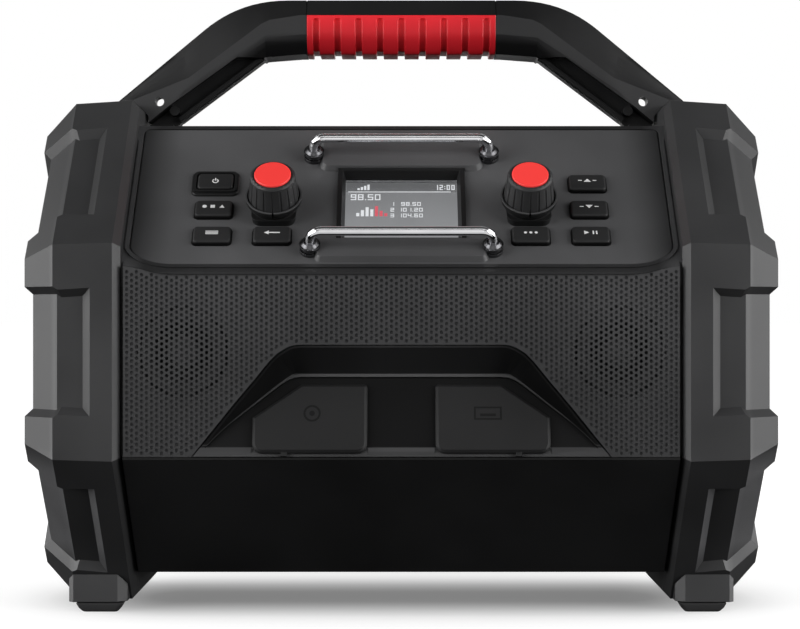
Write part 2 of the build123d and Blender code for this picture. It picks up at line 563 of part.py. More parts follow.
# guard bars: bent rod on four posts
for nm, s in (("upper_guard_bar", BAR_S_UP), ("lower_guard_bar", BAR_S_LO)):
    def w(x, h):
        o = pp(h, x, s).origin
        return (o.X, o.Y, o.Z)
    path = FilletPolyline(w(-BAR_X, -4.6), w(-BAR_X, BAR_H), w(BAR_X, BAR_H), w(BAR_X, -4.6), radius=6.0)
    bar = sweep(pp(-4.6, -BAR_X, s) * Circle(BAR_R), path=path)
    save(nm, bar)
col = []
for sx in (-1, 1):
    for s in (BAR_S_UP, BAR_S_LO):
        x = sx * BAR_X
        base = 1.55
        c = pcyl(x, s, 5.3, 0.05, 2.0)
        c = c + pcyl(x, s, 4.1, 1.9, 3.3) + pcyl(x, s, 5.3, 3.2, 4.9) + pcone(x, s, 4.6, 3.2, 4.85, 6.4)
        c = c - pcyl(x, s, BAR_R + 0.04, -1, 8)
        # clear of the raised fields beside it
        c = c - (pad(-43.0, 43.0, 75.9, 103.4, 5.0) + pad(-44.2, 44.2, 7.1, 26.8, 4.0))
        col.append(max(c.solids(), key=lambda q: q.volume))
save("guard_bar_collars", *col)

# knobs with cup collars, shafts and encoders
col, enc = [], []
for sx, side in ((-1, "left"), (1, "right")):
    x, s = sx * KNOB_X, KNOB_S
    foot = loft([pp(0.05, x, s) * RectangleRounded(21.8, 25.0, 4.6), pp(3.9, x, s) * RectangleRounded(22.6, 25.5, 4.6)], ruled=True)
    cup = foot + pcone(x, s, 11.4, 12.3, 0.05, 4.4) + pcone(x, s, 12.3, 14.1, 4.39, 7.2) + pcone(x, s, 14.1, 14.5, 7.19, 10.2) - pcone(x, s, 13.25, 13.5, 6.9, 10.3)
    cup = cup + pcyl(x, s, 8.8, -3.0, 0.2) - pcyl(x, s, 3.6, -5, 12)
    cup = cup - on_panel(Pos(0, -13.6) * Rectangle(0.9, 4.0), 6.6, 11, x, s)
    col.append(cup)
    shaft = pcyl(x, s, 3.0, -8.0, 20.0) + pcyl(x, s, 3.4, -3.2, 6.8)
    save(side + "_encoder_shaft", shaft)
    kb = pcone(x, s, 13.0, 11.4, 8.4, 22.6) + pcone(x, s, 11.4, 10.2, 22.59, 23.6)
    for k in range(18):
        a = math.radians(k * 20 + 10)
        p0 = pp(8.0, x + 13.35 * math.cos(a), s + 13.35 * math.sin(a))
        p1 = pp(21.4, x + 11.85 * math.cos(a), s + 11.85 * math.sin(a))
        kb = kb - loft([p0 * Circle(0.75), p1 * Circle(0.65)])
    kb = kb - pcyl(x, s, 9.5, 22.8, 25) - pcyl(x, s, 3.05, 5, 20.4) - (pcyl(x, s, 11.2, 8, 11.4) - pcyl(x, s, 5.4, 7, 12))
    save(side + "_knob", max(kb.solids(), key=lambda q: q.volume))
    cap = pcyl(x, s, 9.2, 22.85, 24.1) + pcone(x, s, 9.2, 8.9, 24.09, 24.4)
    save(side + "_knob_cap", cap)
    e = on_panel(Rectangle(13, 13), -10.2, -4.6, x, s) - pcyl(x, s, 3.15, -9.4, 0)
    enc.append(e)
save("knob_collars", *col)
save("encoders", *enc)

# keys: cap through the panel, flange below it, stem over its switch
for nm, (kx, ks, kw, kh) in keys.items():
    sk = RectangleRounded(kw, kh, 2.4)
    k = on_panel(sk, -3.4, KEY_UP - 1.1, kx, ks)
    k = k + loft([pp(KEY_UP - 1.11, kx, ks) * sk, pp(KEY_UP, kx, ks) * offset(sk, -1.0)], ruled=True)
    k = k + on_panel(RectangleRounded(kw + 2.2, kh + 2.2, 2.0), -4.5, -3.25, kx, ks)
    k = k + on_panel(Rectangle(4, 4), -8.0, -4.4, kx, ks)
    save(nm, k)
fx, fs = -96.1, 66.0
bez = on_panel(RectangleRounded(24.4, 18.0, 3.2), 0.05, 0.8, fx, fs)
bez = bez + loft([pp(0.79, fx, fs) * RectangleRounded(24.4, 18.0, 3.2), pp(1.3, fx, fs) * RectangleRounded(23.4, 17.0, 2.7)], ruled=True)
bez = bez + on_panel(RectangleRounded(22.4, 15.6, 2.6), 1.29, 2.0, fx, 66.5)
bez = bez - on_panel(RectangleRounded(19.8, 13.3, 2.6), -1, 4, -96.1, 66.7)
save("power_button_bezel", bez)

# board under the panel, with its switches and the display opening
bd = on_panel(Pos(0, 44) * Rectangle(226, 68), -11.8, -10.3)
bd = bd - on_panel(Pos(0, (DS0 + DS1) / 2) * Rectangle(66, 58), -20, 0)
for nm, (kx, ks, kw, kh) in keys.items():
    bd = bd + on_panel(Rectangle(6, 6), -10.4, -9.25, kx, ks)
save("button_board", bd)

# ---------------------------------------------------------------- speakers
fr, cn = [], []
for sx in (-1, 1):
    x = sx * SPK_X
    f = ycyl(x, SPK_Z, 27.0, -117.3, -115.0) - ycyl(x, SPK_Z, 21.5, -120, -110)
    p0 = Plane(origin=(x, -115.1, SPK_Z), x_dir=(1, 0, 0), z_dir=(0, 1, 0))
    p1 = Plane(origin=(x, -103.0, SPK_Z), x_dir=(1, 0, 0), z_dir=(0, 1, 0))
    f = f + (loft([p0 * Circle(25.0), p1 * Circle(15.0)]) - loft([p0 * Circle(23.0), p1 * Circle(13.0)]))
    f = f + ycyl(x, SPK_Z, 15.5, -103.2, -91.0)
    fr.append(f)
    q0 = Plane(origin=(x, -117.0, SPK_Z), x_dir=(1, 0, 0), z_dir=(0, 1, 0))
    q1 = Plane(origin=(x, -108.5, SPK_Z), x_dir=(1, 0, 0), z_dir=(0, 1, 0))
    c = loft([q0 * Circle(21.2), q1 * Circle(9.0)]) - loft([Plane(origin=(x, -117.01, SPK_Z), x_dir=(1, 0, 0), z_dir=(0, 1, 0)) * Circle(20.0),
                                                         Plane(origin=(x, -109.6, SPK_Z), x_dir=(1, 0, 0), z_dir=(0, 1, 0)) * Circle(8.2)])
    cn.append(c)
save("speaker_frames", *fr)
save("speaker_cones", *cn)

wf = zcyl(0, 0, 50.0, 24.7, 27.4) - zcyl(0, 0, 42.0, 20, 30)
wf = wf + (loft([Pos(0, 0, 27.3) * Circle(47), Pos(0, 0, 52) * Circle(28)]) - loft([Pos(0, 0, 27.3) * Circle(45), Pos(0, 0, 52) * Circle(26)]))
wf = wf + zcyl(0, 0, 33.0, 51.8, 72.0)
save("woofer_frame", wf)
wc = loft([Pos(0, 0, 25.0) * Circle(41.7), Pos(0, 0, 42.0) * Circle(14)]) - loft([Pos(0, 0, 24.9) * Circle(40.0), Pos(0, 0, 40.4) * Circle(12.6)])
save("woofer_cone", wc)

# ---------------------------------------------------------------- inside
mb = box(-70, 70, 22.0, 23.6, 96, 206)
for x, z, w_, h_ in ((-40, 180, 34, 24), (20, 185, 26, 26), (-30, 130, 40, 22), (30, 125, 22, 30)):
    mb = mb + box(x - w_ / 2, x + w_ / 2, 15.0, 22.1, z - h_ / 2, z + h_ / 2)
save("main_board", mb)
hs = box(-66, 66, 23.8, 27.0, 150, 200)
for i in range(12):
    x = -63.5 + i * 11.5
    hs = hs + box(x - 1.2, x + 1.2, 26.9, 44.0, 150, 200)
save("heat_sink", hs)
tr = box(72, 124, 16, 34, 24.7, 66) + box(80, 116, 6, 44, 33, 58)
save("transformer", tr)

bb = box(-104, 44, 60, 108.3, 97, 167) - box(-101.8, 41.8, 62.2, 120, 99.0, 165.0)
save("battery_box", bb)
cells = []
for x0 in (-100.8, -29.6):
    for z in (115.6, 148.4):
        c = xcyl(86.0, z, 16.1, x0, x0 + 58.0) + xcyl(86.0, z, 4.8, x0 + 57.9, x0 + 60.0)
        cells.append(c)
save("battery_cells", *cells)

dr = box(-104.4, 44.0, Y_BACK + 0.3, Y_BACK + 3.2, 96, 168)
dr = soft(dr, dr.faces().sort_by(Axis.Y)[-1].edges(), 1.0)
for z0, z1 in ((98, 103.7), (118.3, 145.7), (160.3, 166)):
    kn = zcyl(-107, 114.6, 2.3, z0, z1) + box(-107, -104.0, 113.6, 115.0, z0, z1)
    dr = dr + kn
dr = dr + zcyl(-107, 114.6, 1.15, 98, 166)
dr = dr + box(43.5, 48.0, Y_BACK + 0.3, Y_BACK + 2.4, 122, 142)
for i in range(5):
    g = -88 + i * 29.0
    dr = dr - box(g - 1.0, g + 1.0, Y_BACK + 2.3, Y_BACK + 5, 104, 160)
save("battery_door", dr)

inl = box(70.8, 99.2, 99.0, 113.4, 113.8, 134.2) + box(67.5, 102.5, Y_BACK + 0.1, Y_BACK + 2.0, 110.5, 137.5)
inl = inl - box(73.4, 96.6, 100.6, 120, 116.2, 131.8)
for x, z in ((78.5, 126.5), (91.5, 126.5), (85.0, 121.0)):
    inl = inl + box(x - 1.0, x + 1.0, 100.5, 107.0, z - 2.0, z + 2.0)
save("power_inlet", inl)

# antenna: turning fork on the seat, folding mast, sliding tip
fork = zcyl(112, 117.5, 4.4, 88.3, 99.0) - box(110.6, 113.4, 105, 130, 89.8, 100)
fork = fork + xcyl(117.5, 95.0, 1.2, 108.4, 115.6)
save("antenna_base", fork)
mast = zcyl(112, 117.5, 3.0, 101.2, 190.0) + box(110.9, 113.1, 115.1, 119.9, 95.0, 102.0) + xcyl(117.5, 95.0, 2.4, 110.9, 113.1)
mast = mast - xcyl(117.5, 95.0, 1.25, 105, 120) - zcyl(112, 117.5, 2.1, 103.2, 200)
save("antenna_mast", mast)
tip = zcyl(112, 117.5, 2.02, 103.6, 190.4) + zcyl(112, 117.5, 3.2, 190.3, 195.0)
save("antenna_tip", tip)
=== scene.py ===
import json
import math
import random

import bmesh
import bpy
from mathutils import Matrix, Vector


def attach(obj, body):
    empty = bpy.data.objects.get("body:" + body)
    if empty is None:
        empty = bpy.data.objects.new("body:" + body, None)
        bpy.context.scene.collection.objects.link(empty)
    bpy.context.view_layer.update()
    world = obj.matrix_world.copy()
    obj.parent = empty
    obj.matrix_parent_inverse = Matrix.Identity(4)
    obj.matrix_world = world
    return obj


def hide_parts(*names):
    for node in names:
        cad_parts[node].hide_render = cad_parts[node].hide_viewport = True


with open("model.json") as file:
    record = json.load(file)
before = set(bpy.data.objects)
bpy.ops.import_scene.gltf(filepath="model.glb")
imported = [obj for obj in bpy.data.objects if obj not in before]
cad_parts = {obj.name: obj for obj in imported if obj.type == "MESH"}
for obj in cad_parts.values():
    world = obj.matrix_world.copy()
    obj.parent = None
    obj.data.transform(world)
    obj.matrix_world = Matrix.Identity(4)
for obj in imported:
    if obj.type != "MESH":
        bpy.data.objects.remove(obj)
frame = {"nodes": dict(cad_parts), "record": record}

random.seed(7)
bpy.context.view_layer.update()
NODES = frame["nodes"]
S = 0.001
AMBIENT = 0.03
LIGHTS = [
    ("side_left", (-1.489, 0.13, 0.271), 1.2, 1.0, 5.2),
    ("side_right", (1.489, 0.13, 0.271), 1.2, 1.0, 5.2),
    ("wing_left", (-1.443, -0.387, 0.271), 1.0, 1.0, 9.6),
    ("wing_right", (1.443, -0.387, 0.271), 1.0, 1.0, 9.6),
    ("quarter_left", (-1.214, -1.018, 0.363), 0.8, 1.0, 10.8),
    ("quarter_right", (1.214, -1.018, 0.363), 0.8, 1.0, 10.8),
    ("upper_side_left", (-1.306, -0.114, 1.058), 0.8, 1.0, 4.5),
    ("upper_side_right", (1.306, -0.114, 1.058), 0.8, 1.0, 4.5),
    ("rear_side_left", (-1.372, 0.792, 0.363), 1.0, 1.0, 2.0),
    ("rear_side_right", (1.372, 0.792, 0.363), 1.0, 1.0, 2.0),
    ("front", (0.0, -2.195, 0.293), 1.2, 0.8, 1.2),
    ("rear", (0.0, 2.1, 0.55), 1.4, 0.9, 10.0),
    ("strip", (0, -1.1, 1.1), 1.8, 0.08, 1.5),
]
R2 = math.sqrt(0.5)


# ------------------------------------------------------------------ materials
class Mat:
    """Small helper round a node tree."""

    def __init__(self, name):
        self.m = bpy.data.materials.new(name)
        self.m.use_nodes = True
        self.t = self.m.node_tree
        self.t.nodes.clear()
        self.out = self.t.nodes.new("ShaderNodeOutputMaterial")
        self.p = self.t.nodes.new("ShaderNodeBsdfPrincipled")
        self.t.links.new(self.p.outputs["BSDF"], self.out.inputs["Surface"])
        self.co = self.t.nodes.new("ShaderNodeTexCoord").outputs["Object"]
        self.last_bump = None

    def n(self, kind, **inputs):
        node = self.t.nodes.new(kind)
        for k, v in inputs.items():
            key = k.replace("_", " ")
            if key in node.inputs:
                node.inputs[key].default_value = v
            else:
                setattr(node, k, v)
        return node

    def link(self, a, b):
        self.t.links.new(a, b)

    def noise(self, scale, detail=2.0, rough=0.5, stretch=None):
        nz = self.n("ShaderNodeTexNoise")
        nz.inputs["Scale"].default_value = scale
        nz.inputs["Detail"].default_value = detail
        nz.inputs["Roughness"].default_value = rough
        if stretch:
            mp = self.n("ShaderNodeMapping")
            mp.inputs["Scale"].default_value = stretch
            self.link(self.co, mp.inputs["Vector"])
            self.link(mp.outputs["Vector"], nz.inputs["Vector"])
        else:
            self.link(self.co, nz.inputs["Vector"])
        return nz.outputs["Fac"]

    def voronoi(self, scale, feature="F1"):
        v = self.n("ShaderNodeTexVoronoi")
        v.feature = feature
        v.inputs["Scale"].default_value = scale
        self.link(self.co, v.inputs["Vector"])
        return v.outputs["Distance"]

    def ranged(self, src, lo, hi, a=0.3, b=0.7):
        mr = self.n("ShaderNodeMapRange")
        mr.inputs["From Min"].default_value = a
        mr.inputs["From Max"].default_value = b
        mr.inputs["To Min"].default_value = lo
        mr.inputs["To Max"].default_value = hi
        self.link(src, mr.inputs["Value"])
        return mr.outputs["Result"]

    def bump(self, src, strength, distance):
        b = self.n("ShaderNodeBump")
        b.inputs["Strength"].default_value = strength
        b.inputs["Distance"].default_value = distance
        self.link(src, b.inputs["Height"])
        if self.last_bump is not None:
            self.link(self.last_bump, b.inputs["Normal"])
        self.last_bump = b.outputs["Normal"]
        self.link(self.last_bump, self.p.inputs["Normal"])

    def colour(self, c0, c1, src, a=0.35, b=0.65):
        mix = self.n("ShaderNodeMix")
        mix.data_type = "RGBA"
        mix.inputs[6].default_value = (*c0, 1)
        mix.inputs[7].default_value = (*c1, 1)
        self.link(self.ranged(src, 0.0, 1.0, a, b), mix.inputs[0])
        self.link(mix.outputs[2], self.p.inputs["Base Color"])
        return mix.outputs[2]


def grey(v, tint=1.03):
    return (v, v, v * tint)


def moulded(name, base, rough, grain=1400, grain_d=0.00006, grain_s=0.5, spec=0.5, var=0.12, rvar=0.07, cloud=14):
    """Moulded plastic or rubber with spark-eroded grain, cloudy gloss and a little dust in the tone."""
    m = Mat(name)
    big = m.noise(cloud, 3.0, 0.55)
    fine = m.noise(grain, 2.0, 0.6)
    c0 = tuple(x * (1 - var) for x in base)
    c1 = tuple(x * (1 + var) for x in base)
    m.colour(c0, c1, big)
    m.link(m.ranged(big, rough - rvar, rough + rvar), m.p.inputs["Roughness"])
    m.bump(fine, grain_s, grain_d)
    m.p.inputs["Specular IOR Level"].default_value = spec
    return m.m


M = {}
M["bumper"] = moulded("bumper_rubber_m", grey(0.052), 0.42, grain=1500, grain_d=0.00005, spec=0.5)
M["black_abs"] = moulded("cabinet_plastic_m", grey(0.016), 0.40, grain=1700, grain_d=0.00004)
M["lower_black"] = moulded("lower_front_m", grey(0.0035), 0.5, grain=1700, grain_d=0.00003, spec=0.3)
M["cheek"] = moulded("cheek_plastic_m", grey(0.02), 0.5, grain=1300, grain_d=0.00006)
M["feet"] = moulded("foot_rubber_m", grey(0.034), 0.75, grain=900, grain_d=0.00008, spec=0.3)
M["handle_black"] = moulded("handle_plastic_m", grey(0.026), 0.42, grain=1600, grain_d=0.00005)
M["panel_black"] = moulded("panel_plastic_m", grey(0.085), 0.42, grain=1900, grain_d=0.00003)
M["collar_rubber"] = moulded("collar_rubber_m", grey(0.006), 0.55, grain=1900, grain_d=0.00003, spec=0.25)
M["knob_black"] = moulded("knob_plastic_m", grey(0.033), 0.42, grain=1900, grain_d=0.00002)
M["key_black"] = None
M["cover_rubber"] = moulded("cover_rubber_m", grey(0.0135), 0.6, grain=1500, grain_d=0.00006, spec=0.35)
M["grille_black"] = moulded("grille_metal_m", grey(0.036), 0.42, grain=2200, grain_d=0.00002)
M["sheet"] = M["grille_black"]
M["socket_black"] = moulded("socket_plastic_m", grey(0.01), 0.3, grain=2000, grain_d=0.00002)
M["door"] = M["black_abs"]
M["grip_red"] = moulded("grip_rubber_m", (0.47, 0.008, 0.016), 0.45, grain=1600, grain_d=0.00005, var=0.1)
M["cap_red"] = moulded("cap_plastic_m", (0.95, 0.05, 0.045), 0.5, grain=2000, grain_d=0.00002, var=0.04)
# red knob caps: painted glow, a faint emission that stands in for light falling on them
cap_p = M["cap_red"].node_tree.nodes["Principled BSDF"]
cap_p.inputs["Emission Color"].default_value = (0.9, 0.05, 0.045, 1)
cap_p.inputs["Emission Strength"].default_value = 0.22
M["circuit_green"] = moulded("board_m", (0.02, 0.13, 0.05), 0.35, grain=600, grain_d=0.00004)
M["cone"] = moulded("cone_paper_m", grey(0.012), 0.8, grain=700, grain_d=0.0001)
M["iron"] = moulded("iron_m", grey(0.06), 0.5, grain=900, grain_d=0.00004)
M["cell"] = moulded("cell_sleeve_m", (0.22, 0.23, 0.26), 0.35, grain=1500, grain_d=0.00002)


def metal(name, base, rough, stretch=None, scale=500, d=0.00001, var=0.06):
    m = Mat(name)
    nz = m.noise(scale, 3.0, 0.6, stretch)
    m.colour(tuple(x * (1 - var) for x in base), tuple(min(1, x * (1 + var)) for x in base), nz)
    m.link(m.ranged(nz, rough * 0.7, rough * 1.4), m.p.inputs["Roughness"])
    m.p.inputs["Metallic"].default_value = 1.0
    m.bump(nz, 0.25, d)
    return m.m


M["chrome"] = metal("chrome_m", (0.86, 0.86, 0.88), 0.035, scale=60)
M["steel"] = metal("zinc_steel_m", (0.5, 0.5, 0.52), 0.32, scale=900)
M["cooler"] = metal("cooler_m", (0.72, 0.72, 0.74), 0.35, stretch=(1, 1, 30), scale=300)


def glass():
    m = Mat("window_m")
    nz = m.noise(30, 2)
    m.p.inputs["Base Color"].default_value = (0.9, 0.92, 0.95, 1)
    m.link(m.ranged(nz, 0.02, 0.07), m.p.inputs["Roughness"])
    m.p.inputs["Transmission Weight"].default_value = 1.0
    m.p.inputs["IOR"].default_value = 1.3
    return m.m


M["screen_glass"] = glass()
M["screen"] = moulded("screen_back_m", grey(0.03), 0.3)

M["cloth"] = moulded("grille_cloth_m", grey(0.06), 0.9, grain=2600, grain_d=0.00015, spec=0.2)
M["speaker_disc"] = moulded("speaker_disc_m", grey(0.045), 0.7, grain=1500, grain_d=0.0001, spec=0.25)
M["paint_white"] = moulded("key_paint_m", (0.85, 0.85, 0.85), 0.5, grain=2500, grain_d=0.00002, var=0.04)
M["mark_dark"] = moulded("cover_mark_m", grey(0.008), 0.6, grain=1500, grain_d=0.00005, spec=0.2)


def lit(name, low, high, strength, tint=(1, 1, 1)):
    """Back-lit face: brightness drifts softly down the screen."""
    m = Mat(name)
    sep = m.n("ShaderNodeSeparateXYZ")
    m.link(m.co, sep.inputs["Vector"])
    nz = m.noise(60, 2)
    z = m.ranged(sep.outputs["Z"], high, low, 0.196, 0.228)
    mul = m.n("ShaderNodeMath")
    mul.operation = "MULTIPLY"
    m.link(z, mul.inputs[0])
    m.link(m.ranged(nz, 0.97, 1.03), mul.inputs[1])
    m.p.inputs["Base Color"].default_value = (0.01, 0.01, 0.01, 1)
    m.p.inputs["Roughness"].default_value = 0.5
    m.p.inputs["Emission Color"].default_value = (*tint, 1)
    m.p.inputs["Specular IOR Level"].default_value = 0.1
    k = m.n("ShaderNodeMath")
    k.operation = "MULTIPLY"
    k.inputs[1].default_value = strength
    m.link(mul.outputs[0], k.inputs[0])
    m.link(k.outputs[0], m.p.inputs["Emission Strength"])
    return m.m


M["screen_light"] = lit("screen_light_m", 0.20, 0.31, 1.0)
M["screen_band"] = lit("screen_band_m", 0.13, 0.15, 1.0)
M["screen_white"] = lit("screen_white_m", 0.85, 0.9, 1.0)
M["screen_red"] = lit("screen_red_m", 0.8, 0.8, 1.0, (1.0, 0.16, 0.2))



def times(m, a, b):
    k = m.n("ShaderNodeMath")
    k.operation = "MULTIPLY"
    m.link(a, k.inputs[0])
    m.link(b, k.inputs[1])
    return k.outputs[0]


def tone(m, factor):
    """Multiplies the base colour that is wired in by a value between 0 and some more."""
    src = m.p.inputs["Base Color"].links[0].from_socket
    mix = m.n("ShaderNodeVectorMath")
    mix.operation = "SCALE"
    m.link(src, mix.inputs[0])
    m.link(factor, mix.inputs["Scale"])
    m.link(mix.outputs[0], m.p.inputs["Base Color"])


def axis_of(m, source, vec):
    """Component of a coordinate along a fixed direction."""
    d = m.n("ShaderNodeVectorMath")
    d.operation = "DOT_PRODUCT"
    m.link(source, d.inputs[0])
    d.inputs[1].default_value = vec
    return d.outputs["Value"]


def absolute(m, a):
    k = m.n("ShaderNodeMath")
    k.operation = "ABSOLUTE"
    m.link(a, k.inputs[0])
    return k.outputs[0]


def gloss(m, base, factor):
    """Specular level that follows a zone mask."""
    k = m.n("ShaderNodeMath")
    k.operation = "MULTIPLY"
    k.inputs[1].default_value = base
    m.link(factor, k.inputs[0])
    m.link(k.outputs[0], m.p.inputs["Specular IOR Level"])


def plus(m, a, b):
    k = m.n("ShaderNodeMath")
    k.operation = "ADD"
    m.link(a, k.inputs[0])
    m.link(b, k.inputs[1])
    return k.outputs[0]


def moulded_m(*a, **k):
    """As moulded, but hands back the helper, so that zones can be added."""
    m = Mat(a[0])
    base, rough = a[1], a[2]
    big = m.noise(k.get("cloud", 14), 3.0, 0.55)
    fine = m.noise(k.get("grain", 1400), 2.0, 0.6)
    var, rvar = k.get("var", 0.12), k.get("rvar", 0.07)
    m.colour(tuple(x * (1 - var) for x in base), tuple(x * (1 + var) for x in base), big)
    m.link(m.ranged(big, rough - rvar, rough + rvar), m.p.inputs["Roughness"])
    m.bump(fine, k.get("grain_s", 0.5), k.get("grain_d", 0.00006))
    m.p.inputs["Specular IOR Level"].default_value = k.get("spec", 0.5)
    return m


def height(m):
    """Height over the control panel."""
    d = m.n("ShaderNodeVectorMath")
    d.operation = "SUBTRACT"
    m.link(m.co, d.inputs[0])
    d.inputs[1].default_value = (0, -0.125, 0.177)
    return axis_of(m, d.outputs[0], (0, -R2, R2))


# control panel: painted shade towards both ends, where the bumpers shade it, and painted shade inside its openings
pm = moulded_m("panel_face_m", grey(0.085), 0.42, grain=1900, grain_d=0.00003)
hp_ = pm.ranged(height(pm), 0.15, 1.0, -0.0004, -0.0001)
tone(pm, times(pm, hp_, pm.ranged(absolute(pm, axis_of(pm, pm.co, (1, 0, 0))), 1.08, 0.56, 0.1165, 0.1345)))
M["panel_black"] = pm.m

# keys: painted shade on their sides, which are darker and less glossy than the tops
kk_ = moulded_m("key_rubber_m", grey(0.0195), 0.55, grain=2200, grain_d=0.00003, spec=0.4)
kh_ = kk_.ranged(height(kk_), 0.25, 1.0, 0.0017, 0.0022)
tone(kk_, kh_)
gloss(kk_, 0.4, kh_)
M["key_black"] = kk_.m
M["key_frame"] = moulded("key_frame_m", grey(0.012), 0.5, grain=2200, grain_d=0.00003, spec=0.3)

# grip: painted light towards its upper edge, a paler tone and a faint painted glow there
gp_ = moulded_m("grip_face_m", (0.55, 0.009, 0.017), 0.45, grain=1600, grain_d=0.00005, var=0.1)
gz_ = axis_of(gp_, gp_.co, (0, 0, 1))
tone(gp_, gp_.ranged(gz_, 1.0, 1.5, 0.306, 0.3195))
gp_.p.inputs["Emission Color"].default_value = (0.75, 0.03, 0.035, 1)
gp_.link(gp_.ranged(gz_, 0.0, 0.12, 0.306, 0.3195), gp_.p.inputs["Emission Strength"])
M["grip_face"] = gp_.m

# perforated sheet: painted light, a little paler towards its upper edge
gm_ = moulded_m("grille_sheet_m", grey(0.040), 0.42, grain=2200, grain_d=0.00002)
tone(gm_, gm_.ranged(axis_of(gm_, gm_.co, (0, 0, 1)), 1.0, 1.65, 0.12, 0.178))
M["sheet"] = gm_.m

# bumper: painted shade on its outermost faces, which also get less gloss
bu_ = moulded_m("bumper_face_m", grey(0.0395), 0.42, grain=1500, grain_d=0.00005)
bp_ = absolute(bu_, axis_of(bu_, bu_.co, (1, 0, 0)))
bt_ = bu_.ranged(bp_, 1.0, 0.86, 0.1735, 0.1755)
bz_ = axis_of(bu_, bu_.co, (0, 0, 1))
bn_ = absolute(bu_, axis_of(bu_, bu_.n("ShaderNodeTexCoord").outputs["Normal"], (1, 0, 0)))
# painted light on the lower sloped sides of the sunk fields and painted shade on their upper sloped sides, and painted
# light from the side below on the lowest outer slopes
field_ = times(bu_, times(bu_, bu_.ranged(bn_, 0.0, 1.0, 0.32, 0.44), bu_.ranged(bp_, 0.0, 1.0, 0.1455, 0.1470)), bu_.ranged(bp_, 1.0, 0.0, 0.1715, 0.1730))
fz_ = times(bu_, field_, bu_.ranged(bz_, 0.45, -0.36, 0.060, 0.075))
low_side_light_ = times(bu_, times(bu_, bu_.ranged(bn_, 0.0, 1.0, 0.46, 0.56), bu_.ranged(bp_, 0.0, 1.0, 0.148, 0.154)), times(bu_, bu_.ranged(bz_, 0.0, 1.25, 0.028, 0.038), bu_.ranged(bz_, 1.0, 0.0, 0.078, 0.090)))
bt_ = plus(bu_, plus(bu_, bt_, fz_), low_side_light_)
tone(bu_, bt_)
gloss(bu_, 0.45, bu_.ranged(bp_, 1.0, 0.8, 0.1735, 0.1755))
M["bumper_face"] = bu_.m

# handle: painted shade by facing, top faces and undersides darker, painted shade deep in the pockets and painted light
# on the arms, with gloss following the same tone
hm_ = moulded_m("handle_face_m", grey(0.026), 0.42, grain=1600, grain_d=0.00005)
hz_ = axis_of(hm_, hm_.n("ShaderNodeTexCoord").outputs["Normal"], (0, 0, 1))
hy_ = absolute(hm_, axis_of(hm_, hm_.co, (0, 1, 0)))
deep_ = times(hm_, hm_.ranged(hy_, 1.0, 0.0, 0.0124, 0.0132), hm_.ranged(axis_of(hm_, hm_.co, (0, 0, 1)), 1.0, 0.0, 0.297, 0.299))
ht_ = times(hm_, hm_.ranged(hz_, 1.28, 0.55, 0.05, 0.35), hm_.ranged(hz_, 0.22, 1.0, -0.55, -0.05))
ht_ = times(hm_, ht_, hm_.ranged(deep_, 1.0, 0.4, 0.0, 1.0))
ht_ = times(hm_, ht_, hm_.ranged(absolute(hm_, axis_of(hm_, hm_.co, (1, 0, 0))), 1.0, 1.22, 0.110, 0.118))
tone(hm_, ht_)
gloss(hm_, 0.45, hm_.ranged(ht_, 0.2, 1.0, 0.2, 1.0))
M["handle_face"] = hm_.m

# socket bay: painted light and shade by zone, with gloss to match: a painted highlight on the thin rim, painted light
# on the lower strip, and painted light of differing strength across the deep face and the ceiling
bm_ = moulded_m("socket_bay_m", grey(0.0024), 0.5, grain=1700, grain_d=0.00004, spec=0.2)
up_ = bm_.n("ShaderNodeTexCoord").outputs["Normal"]
nz_ = axis_of(bm_, up_, (0, 0, 1))
zc_ = axis_of(bm_, bm_.co, (0, 0, 1))
off_ = bm_.n("ShaderNodeVectorMath")
off_.operation = "SUBTRACT"
bm_.link(bm_.co, off_.inputs[0])
off_.inputs[1].default_value = (0, -0.1216, 0.09)
nd_ = axis_of(bm_, off_.outputs[0], (0, -math.cos(math.radians(18.9)), math.sin(math.radians(18.9))))
vd_ = axis_of(bm_, off_.outputs[0], (0, math.sin(math.radians(18.9)), math.cos(math.radians(18.9))))
over_ = bm_.ranged(zc_, 0.0, 1.0, 0.0912, 0.0918)
face_ = bm_.ranged(nd_, 1.0, 0.0, 0.0003, 0.0006)
rim_ = times(bm_, times(bm_, bm_.ranged(nd_, 0.0, 1.0, 0.0008, 0.0011), bm_.ranged(nd_, 1.0, 0.0, 0.00145, 0.0016)), over_)
strip_ = bm_.ranged(zc_, 1.0, 0.0, 0.0903, 0.0908)
xb_ = absolute(bm_, axis_of(bm_, bm_.co, (1, 0, 0)))
deepz_ = bm_.ranged(face_, 1.0, 0.0, 0.0, 1.0)
lit_ = plus(bm_, plus(bm_, bm_.ranged(rim_, 0.0, 14.0, 0.0, 1.0), bm_.ranged(strip_, 0.0, 17.0, 0.0, 1.0)),
            plus(bm_, times(bm_, times(bm_, deepz_, bm_.ranged(xb_, 1.2, 1.0, 0.012, 0.022)), bm_.ranged(xb_, 7.0, 2.6, 0.044, 0.062)), times(bm_, face_, bm_.ranged(xb_, 1.9, 3.4, 0.070, 0.080))))
tone(bm_, lit_)
dim_ = plus(bm_, times(bm_, deepz_, bm_.ranged(xb_, 0.28, 0.10, 0.020, 0.062)), bm_.ranged(face_, 0.0, 0.17, 0.0, 1.0))
gl_ = plus(bm_, bm_.ranged(rim_, 0.0, 0.6, 0.0, 1.0), bm_.ranged(strip_, 0.0, 0.4, 0.0, 1.0))
gloss(bm_, 1.0, plus(bm_, gl_, dim_))
M["bay"] = bm_.m
M["bolt_dark"] = metal("bolt_dark_m", (0.12, 0.12, 0.125), 0.4, scale=900)
M["collar_metal"] = metal("collar_metal_m", (0.10, 0.10, 0.105), 0.27, scale=120)
